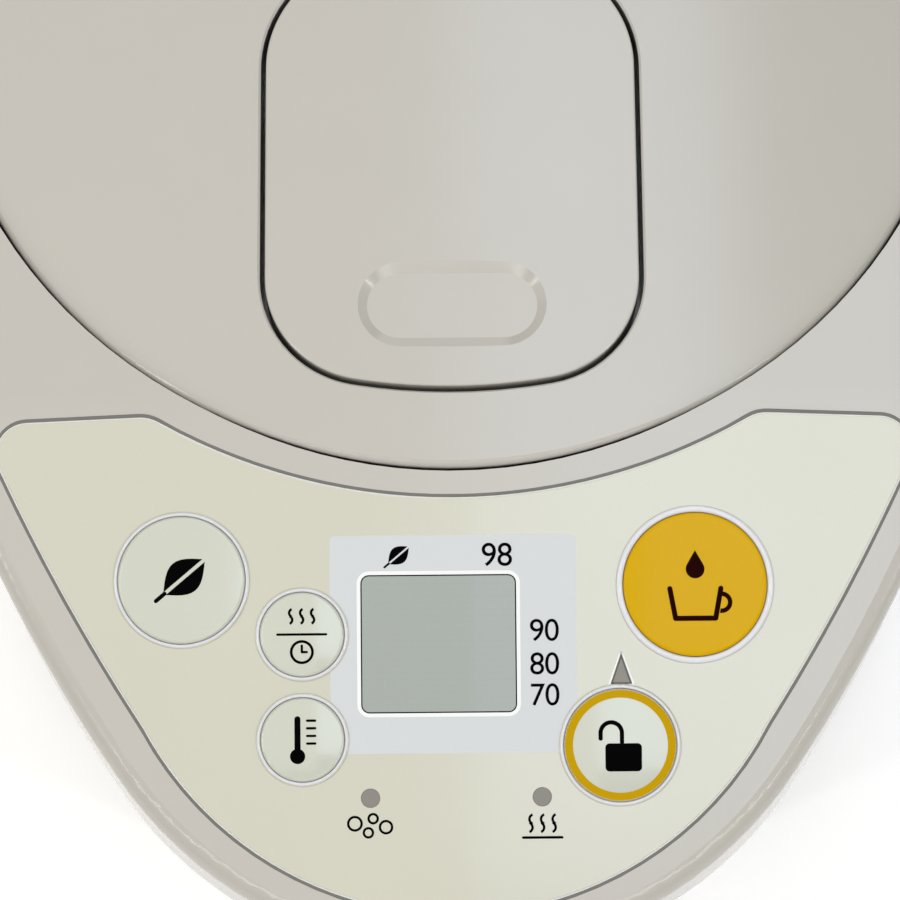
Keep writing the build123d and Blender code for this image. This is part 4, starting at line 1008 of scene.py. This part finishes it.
@dataclass
class ControlNose:
    """Beads, rings and printed marks of the sloping control panel, all in millimetres on the panel."""

    shop: FinishShop
    dispense: KeyCap = KeyCap("dispense", 39.6, -14.6, 11.85, bezel=1.15)
    unlock: KeyCap = KeyCap("unlock", 27.0, -40.9, 9.27)
    energy: KeyCap = KeyCap("energy", -45.0, -13.2, 10.5)
    timer: KeyCap = KeyCap("timer", -25.2, -22.3, 6.95)
    temperature: KeyCap = KeyCap("temperature", -25.2, -39.6, 6.9)
    # Centre and size of the display; left, right, low and high side of the field round it.
    display: Box = (-2.7, -24.0, 25.9, 23.0)
    zone: Box = (-20.6, 20.0, -42.0, -6.1)
    zone_corner: float = 1.0
    display_corner: float = 1.45
    # Growth over the display, corner and width of its white rim and of its dark edge, which is painted
    # shade along the display's inner border.
    rim: Place = (1.0, 2.0, 0.62)
    edge: Place = (-0.1, 1.45, 0.28)
    small_leaf: Place = (-9.2, -9.4, 2.1)
    figures: tuple[tuple[str, float, float, float], ...] = (
        ("98", 7.0, -9.6, 4.0),
        ("90", 14.7, -22.1, 3.8),
        ("80", 14.7, -27.6, 3.8),
        ("70", 14.7, -32.7, 3.8),
    )
    lamp_offset: float = 14.1
    bubble_level: float = -53.6
    bubbles: tuple[Place, ...] = ((-2.6, 0.2, 1.1), (0.4, 1.0, 0.75), (-0.4, -1.3, 0.75), (2.5, -0.4, 1.0))
    steam_levels: Point = (-52.9, -54.25)
    tray_level: float = -55.9
    tray_half: float = 3.2
    pointer: Box = (27.3, -28.6, 3.07, 4.15)
    pen: float = 0.4
    broad_pen: float = 0.42
    cup_pen: float = 0.85
    lock_pen: float = 0.7
    seam_start: Point = (-75.7, 7.6)
    seal_radius: float = 0.3
    seal_flat: float = 0.35
    bead_cut: float = 0.8
    bead_radius: float = 0.15
    bead_rise: float = 0.05

    def build(self) -> None:
        """Lays the beads and the key bezels, and draws every printed mark of the nose."""
        # A grey bead in the seam on the frame's side, whose grey is painted shade of the groove.
        self.lay_edge_bead("panel_seam_painted_shade", "shoulder_frame", self.seal_radius, self.seal_flat, PAINTED_SEAM_SHADE)
        # A pale bead on the film's edge, whose pale colour is a painted highlight.
        self.lay_edge_bead("panel_edge_painted_highlight", "control_panel", self.bead_radius, 1.0, PAINTED_EDGE_HIGHLIGHT)
        for key in (self.dispense, self.unlock, self.energy, self.timer, self.temperature):
            key.lay_bezel(self.shop)
        self.draw_zone()
        self.draw_figures()
        self.draw_lamp_signs()
        self.draw_pointer()
        self.draw_dispense()
        self.draw_unlock()
        self.draw_energy()
        self.draw_timer()
        self.draw_temperature()

    def lay_edge_bead(self, name: str, node: str, radius: float, flat: float, finish: Finish) -> None:
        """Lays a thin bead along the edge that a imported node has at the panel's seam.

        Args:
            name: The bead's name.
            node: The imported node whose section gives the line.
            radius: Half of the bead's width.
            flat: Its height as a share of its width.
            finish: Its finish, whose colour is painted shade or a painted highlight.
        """
        source = frame["nodes"][node]
        bead = add_object(name, source.data.copy())
        bpy.ops.object.select_all(action="DESELECT")
        bead.select_set(True)
        bpy.context.view_layer.objects.active = bead
        bead.matrix_world = PANEL_SHEET.inverted() @ source.matrix_world
        bpy.ops.object.transform_apply()
        with editing():
            bpy.ops.mesh.remove_doubles(threshold=SECTION_MERGE_MM)
            bpy.ops.mesh.bisect(
                plane_co=(0, 0, -self.bead_cut), plane_no=(0, 0, 1), clear_inner=True, clear_outer=True
            )
            bpy.ops.mesh.select_all(action="DESELECT")
        start = Vector((*self.seam_start, -self.bead_cut))
        min(bead.data.vertices, key=lambda vertex: (vertex.co - start).length).select = True
        with editing(everything=False):
            bpy.ops.mesh.select_linked()
            bpy.ops.mesh.select_all(action="INVERT")
            bpy.ops.mesh.delete(type="VERT")
        bpy.ops.object.convert(target="CURVE")
        line = bpy.context.object.data
        line.bevel_depth = radius
        line.bevel_resolution = 3
        bpy.ops.object.convert(target="MESH")
        bead = bpy.context.object
        for vertex in bead.data.vertices:
            vertex.co.z = (vertex.co.z + self.bead_cut - radius) * flat + self.bead_rise
        bpy.ops.object.shade_smooth()
        settle(bead, name, PANEL_SHEET)
        self.shop.dress(bead, finish)
        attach(bead, Body.POT.value)
        log.info("%s: %d faces", name, len(bead.data.polygons))

    def draw_zone(self) -> None:
        """Lays the pale field round the display, the display's white rim, and a dark rim that is painted
        shade along its inner border.
        """
        left, right, low, high = self.zone
        x, y, width, height = self.display
        pale = FlatPrint("display_field", self.shop)
        pale.plate(((left + right) / 2, (low + high) / 2, right - left, high - low), self.zone_corner)
        pale.cut_plate(self.display, self.display_corner)
        for key in (self.unlock, self.timer, self.temperature):
            pale.cut_dot(key.x, key.y, key.bezel_radius())
        pale.finish(Body.POT, INK_PALE, lift_mm=0.015, depth_mm=0.02)
        # The dark rim is painted shade along the display's inner border.
        for name, (grow, corner, wide), ink, lift, depth in (
            ("display_rim", self.rim, INK_WHITE, 0.03, 0.03),
            ("display_edge_painted_shade", self.edge, INK_BLACK, 0.02, 0.015),
        ):
            line = FlatPrint(name, self.shop)
            line.frame_plate((x, y, width + grow, height + grow), corner, wide)
            line.finish(Body.POT, ink, lift_mm=lift, depth_mm=depth)

    def draw_figures(self) -> None:
        """Prints the leaf sign and the four temperatures beside the display."""
        marks = FlatPrint("temperature_figures", self.shop)
        marks.leaf(*self.small_leaf)
        for text, x, y, height in self.figures:
            marks.digits(text, x, y, height)
        marks.finish(Body.POT, INK_BLACK, lift_mm=0.035)

    def draw_lamp_signs(self) -> None:
        """Prints the boiling sign and the keep-warm sign under the two lamps."""
        marks = FlatPrint("lamp_signs", self.shop)
        for x, y, radius in self.bubbles:
            marks.band(-self.lamp_offset + x, self.bubble_level + y, radius, self.pen)
        marks.steam(self.lamp_offset, 1.9, self.steam_levels, 0.8, 0.55)
        left, right = self.lamp_offset - self.tray_half, self.lamp_offset + self.tray_half
        marks.stroke((left, self.tray_level, right, self.tray_level), self.broad_pen)
        marks.finish(Body.POT, INK_BLACK)

    def draw_pointer(self) -> None:
        """Prints the white halo and the grey edge of the pointer between the two keys for pouring."""
        x, y, width, height = self.pointer
        for name, grow, pen, ink, lift in (
            ("pointer_halo", 0.42, 0.5, INK_WHITE, 0.012),
            ("pointer_edge", 0.06, 0.3, INK_GREY, 0.02),
        ):
            half, rise = width / 2 + grow, height / 2 + grow
            corners = ((x - half, y - rise), (x + half, y - rise), (x, y + rise * 1.15))
            line = FlatPrint(name, self.shop)
            for i in range(3):
                line.stroke((*corners[i], *corners[(i + 1) % 3]), pen)
            line.finish(Body.POT, ink, lift_mm=lift)

    def draw_dispense(self) -> None:
        """Prints a drop over a cup on the large key."""
        marks = self.dispense.start_print("sign", self.shop)
        tip, middle, radius = 5.6, 2.5, 1.55
        drop = [(0.0, tip)]
        for i in range(17):
            angle = math.radians(150 + i * 240 / 16)
            drop.append((radius * math.cos(angle), middle + radius * math.sin(angle)))
        marks.outline(drop)
        for line in ((-4.2, -0.7, -3.3, -5.6), (4.2, -0.7, 3.3, -5.6), (-3.3, -5.6, 3.3, -5.6)):
            marks.stroke(line, self.cup_pen)
        marks.band(4.3, -3.0, 1.4, 0.75, -100, 190)
        marks.finish(Body.DISPENSE, INK_MAROON, drape=self.dispense.height)

    def draw_unlock(self) -> None:
        """Prints the gold ring and an open padlock on the lock key."""
        ring = self.unlock.start_print("ring", self.shop)
        ring.band(0.0, 0.0, 8.48, 1.36)
        ring.finish(Body.UNLOCK, INK_GOLD, drape=self.unlock.height)
        marks = self.unlock.start_print("sign", self.shop)
        marks.plate((0.5, -2.0, 6.0, 4.6), 0.7)
        marks.band(-1.5, 2.0, 1.75, self.lock_pen, 0, 180)
        marks.stroke((0.25, 0.5, 0.25, 2.0), self.lock_pen)
        marks.stroke((-3.25, 1.1, -3.25, 2.0), self.lock_pen)
        marks.finish(Body.UNLOCK, INK_BLACK, lift_mm=0.025, drape=self.unlock.height)

    def draw_energy(self) -> None:
        """Prints a leaf on the energy-saving key."""
        marks = self.energy.start_print("sign", self.shop)
        marks.leaf(0.5, 0.5, 4.2)
        marks.finish(Body.ENERGY, INK_BLACK, drape=self.energy.height)

    def draw_timer(self) -> None:
        """Prints steam over a line over a clock on the re-boiling and timer key."""
        marks = self.timer.start_print("sign", self.shop)
        marks.stroke((-4.0, 0.0, 4.0, 0.0), self.pen)
        marks.steam(0.0, 1.8, (3.55, 2.4), 0.65, 0.4)
        clock = -2.9
        marks.band(0.0, clock, 1.75, 0.45)
        marks.stroke((0.0, clock, 0.0, -1.85), self.pen)
        marks.stroke((0.0, clock, 0.8, clock), self.pen)
        marks.finish(Body.TIMER, INK_BLACK, drape=self.timer.height)

    def draw_temperature(self) -> None:
        """Prints a thermometer with its scale on the temperature key."""
        marks = self.temperature.start_print("sign", self.shop)
        stem, low, step = -0.8, -0.6, 1.25
        marks.dot(stem, -2.7, 1.25)
        marks.stroke((stem, -2.4, stem, 3.4), 1.0)
        for i in range(4):
            marks.stroke((0.8, low + step * i, 2.1, low + step * i), self.pen)
        marks.finish(Body.TEMPERATURE, INK_BLACK, drape=self.temperature.height)


@dataclass
class WaterGauge:
    """Scale printed on the front of the water gauge's window, in millimetres."""

    shop: FinishShop
    front_radius: float = 99.1
    first: float = 6.0
    step: float = 6.5
    count: int = 13
    steps_per_figure: int = 4
    left: float = -6.0
    long_end: float = -2.6
    short_end: float = -4.4
    pen: float = 0.4
    figure_x: float = 5.4
    figure_height: float = 3.2

    def build(self) -> None:
        """Draws the scale and its figures."""
        marks = FlatPrint("gauge_scale", self.shop, GAUGE_SHEET)
        for i in range(self.count):
            figure, rest = divmod(i, self.steps_per_figure)
            y = self.first + i * self.step
            marks.stroke((self.left, y, self.short_end if rest else self.long_end, y), self.pen)
            if figure and not rest:
                marks.digits(str(figure), self.figure_x, y, self.figure_height)
        marks.finish(Body.POT, INK_BLACK, drape=self.bulge)

    def bulge(self, x: float, _y: float) -> float:
        """Distance of the window's front from the pot's axis at a place across it."""
        return math.sqrt(self.front_radius**2 - x * x)


@dataclass
class LatchSpring:
    """Return spring of the lid's hook, in millimetres."""

    shop: FinishShop
    radius: float = 1.4
    wire: float = 0.5
    wire_sides: int = 12
    turns: int = 6
    turn_steps: int = 28
    front: float = -45.9
    rear: float = -34.1
    seat: float = -34.0
    level: float = 245.0
    kept: float = 0.685

    def build(self) -> None:
        """Winds the coil, closes its ends, and puts it on the lid in place of the hook's own spring."""
        length = self.rear - self.front - self.wire
        bpy.ops.object.select_all(action="DESELECT")
        place = (self.radius, 0, 0)
        bpy.ops.mesh.primitive_circle_add(vertices=self.wire_sides, radius=self.wire / 2, location=place)
        bpy.ops.object.transform_apply()
        coil = bpy.context.object
        winding = {"axis": "Y", "screw_offset": length / self.turns, "iterations": self.turns}
        steps = dict.fromkeys(("steps", "render_steps"), self.turn_steps)
        modify(coil, "SCREW", **winding, **steps, use_smooth_shade=True)
        with editing():
            bpy.ops.mesh.fill_holes(sides=self.wire_sides)
            bpy.ops.mesh.normals_make_consistent(inside=False)
        low = min(vertex.co.y for vertex in coil.data.vertices)
        place = Matrix.Translation((0, (self.front - low) * MM, self.level * MM))
        settle(coil, "latch_spring", place @ Matrix.Scale(MM, 4))
        self.shop.dress(coil, BRIGHT_STEEL)
        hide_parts("hook_spring")
        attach(coil, Body.LID.value)
        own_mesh(coil)
        log.info("latch spring: %d faces", len(coil.data.polygons))


# ---------------- studio


@dataclass(frozen=True)
class Softbox:
    """One rectangular light of the studio, in metres; it faces its aim, or straight down without one."""

    name: str
    place: Place
    size: Point
    power: float
    tint: str = "#ffffff"
    aim: Optional[Place] = (0.0, 0.0, 0.2)

    def hang(self) -> None:
        """Hangs the light."""
        data = bpy.data.lights.new(self.name, "AREA")
        data.shape = "RECTANGLE"
        data.size, data.size_y = self.size
        data.energy = self.power
        data.color = linear(self.tint)[:3]
        lamp = add_object(self.name, data)
        lamp.location = self.place
        if self.aim:
            sight = Vector(self.aim) - Vector(self.place)
            lamp.rotation_euler = sight.to_track_quat("-Z", "Y").to_euler()
        log.info("light %s", self.name)


# Light that a square metre of the two overhead boxes gives: the brightness of the face, times pi.
WARM_GLOW = 1.22 * math.pi
COOL_GLOW = 3.3 * math.pi


@dataclass
class Studio:
    """Floor, soft lights and the camera that looks down on the nose."""

    target_mm: Place = (0.0, -85.1, 260.5)
    away: Place = (0.0, -0.352, 0.936)
    distance_mm: float = 650.0
    shift_mm: float = -0.56
    roll_deg: float = 0.5
    lens_mm: float = 157.6
    sensor_mm: float = 36.0
    floor_size: float = 8.0
    floor_glow: float = 0.35
    room_tint: str = "#eef0f2"
    room_glow: float = 0.25
    softboxes: tuple[Softbox, ...] = (
        Softbox("softbox_warm", (-0.45, 0.1, 1.45), (0.92, 1.6), WARM_GLOW * 0.92 * 1.6, "#fffaf2", None),
        Softbox("softbox_cool", (0.17, 0.05, 1.45), (0.32, 1.3), COOL_GLOW * 0.32 * 1.3, "#dfecfb", None),
        Softbox("softbox_left", (-1.5, -0.3, 0.9), (0.8, 0.8), 1.7),
        Softbox("softbox_right", (1.5, -0.5, 0.8), (0.7, 0.7), 1.5),
        Softbox("softbox_front", (0.1, -1.6, 0.6), (0.8, 0.8), 1.4),
        Softbox("softbox_back", (0.3, 1.6, 0.7), (0.8, 0.8), 2.6),
        Softbox("strip_front", (0.0, -1.0, 1.2), (2.2, 0.09), 4.5),
        Softbox("strip_left", (-0.95, -0.5, 1.25), (0.06, 1.4), 3.8),
        Softbox("strip_right", (0.95, -0.5, 1.25), (0.06, 1.4), 3.8),
    )

    def build(self) -> None:
        """Makes the floor, the lights, the surroundings and the camera."""
        self.lay_floor()
        for softbox in self.softboxes:
            softbox.hang()
        self.surround()
        self.aim_camera()

    def lay_floor(self) -> None:
        """Lays a plain pale sweep under the pot."""
        bpy.ops.object.select_all(action="DESELECT")
        bpy.ops.mesh.primitive_plane_add(size=self.floor_size)
        floor = bpy.context.object
        floor.name = "studio_floor"
        material = SWEEP_PAPER.build()
        shader = material.node_tree.nodes["Principled BSDF"]
        glow = {"Emission Color": linear("#ffffff"), "Emission Strength": self.floor_glow}
        feed(material.node_tree, shader, glow)
        floor.data.materials.append(material)

    def surround(self) -> None:
        """Gives the room an even pale light."""
        world = bpy.data.worlds.new("studio_room")
        world.use_nodes = True
        glow = {"Color": linear(self.room_tint), "Strength": self.room_glow}
        feed(world.node_tree, world.node_tree.nodes["Background"], glow)
        bpy.context.scene.world = world
        bpy.context.scene.view_settings.view_transform = "Standard"

    def aim_camera(self) -> None:
        """Places the camera square to its line of sight, with its small roll."""
        back = Vector(self.away).normalized()
        right = Vector((1.0, 0.0, 0.0))
        up = back.cross(right)
        turn = Matrix.Rotation(math.radians(-self.roll_deg), 4, back)
        pose = Matrix.Identity(4)
        for i, column in enumerate((right, up, back)):
            turned = turn @ column
            for j in range(3):
                pose[j][i] = turned[j]
        place = Vector(self.target_mm) * MM + back * self.distance_mm * MM
        place.x += self.shift_mm * MM
        data = bpy.data.cameras.new("camera")
        data.lens = self.lens_mm
        data.sensor_width = self.sensor_mm
        camera = add_object("camera", data)
        camera.matrix_world = Matrix.Translation(place) @ pose
        bpy.context.scene.camera = camera


def main() -> None:
    """Dresses the pot, prints its marks, and sets up the studio."""
    logging.basicConfig(level=logging.INFO)
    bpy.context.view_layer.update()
    shop = FinishShop()
    shop.dress_frame()
    ControlNose(shop).build()
    WaterGauge(shop).build()
    LatchSpring(shop).build()
    Studio().build()
    log.info("pot dressed")


if __name__ == "__main__":
    main()
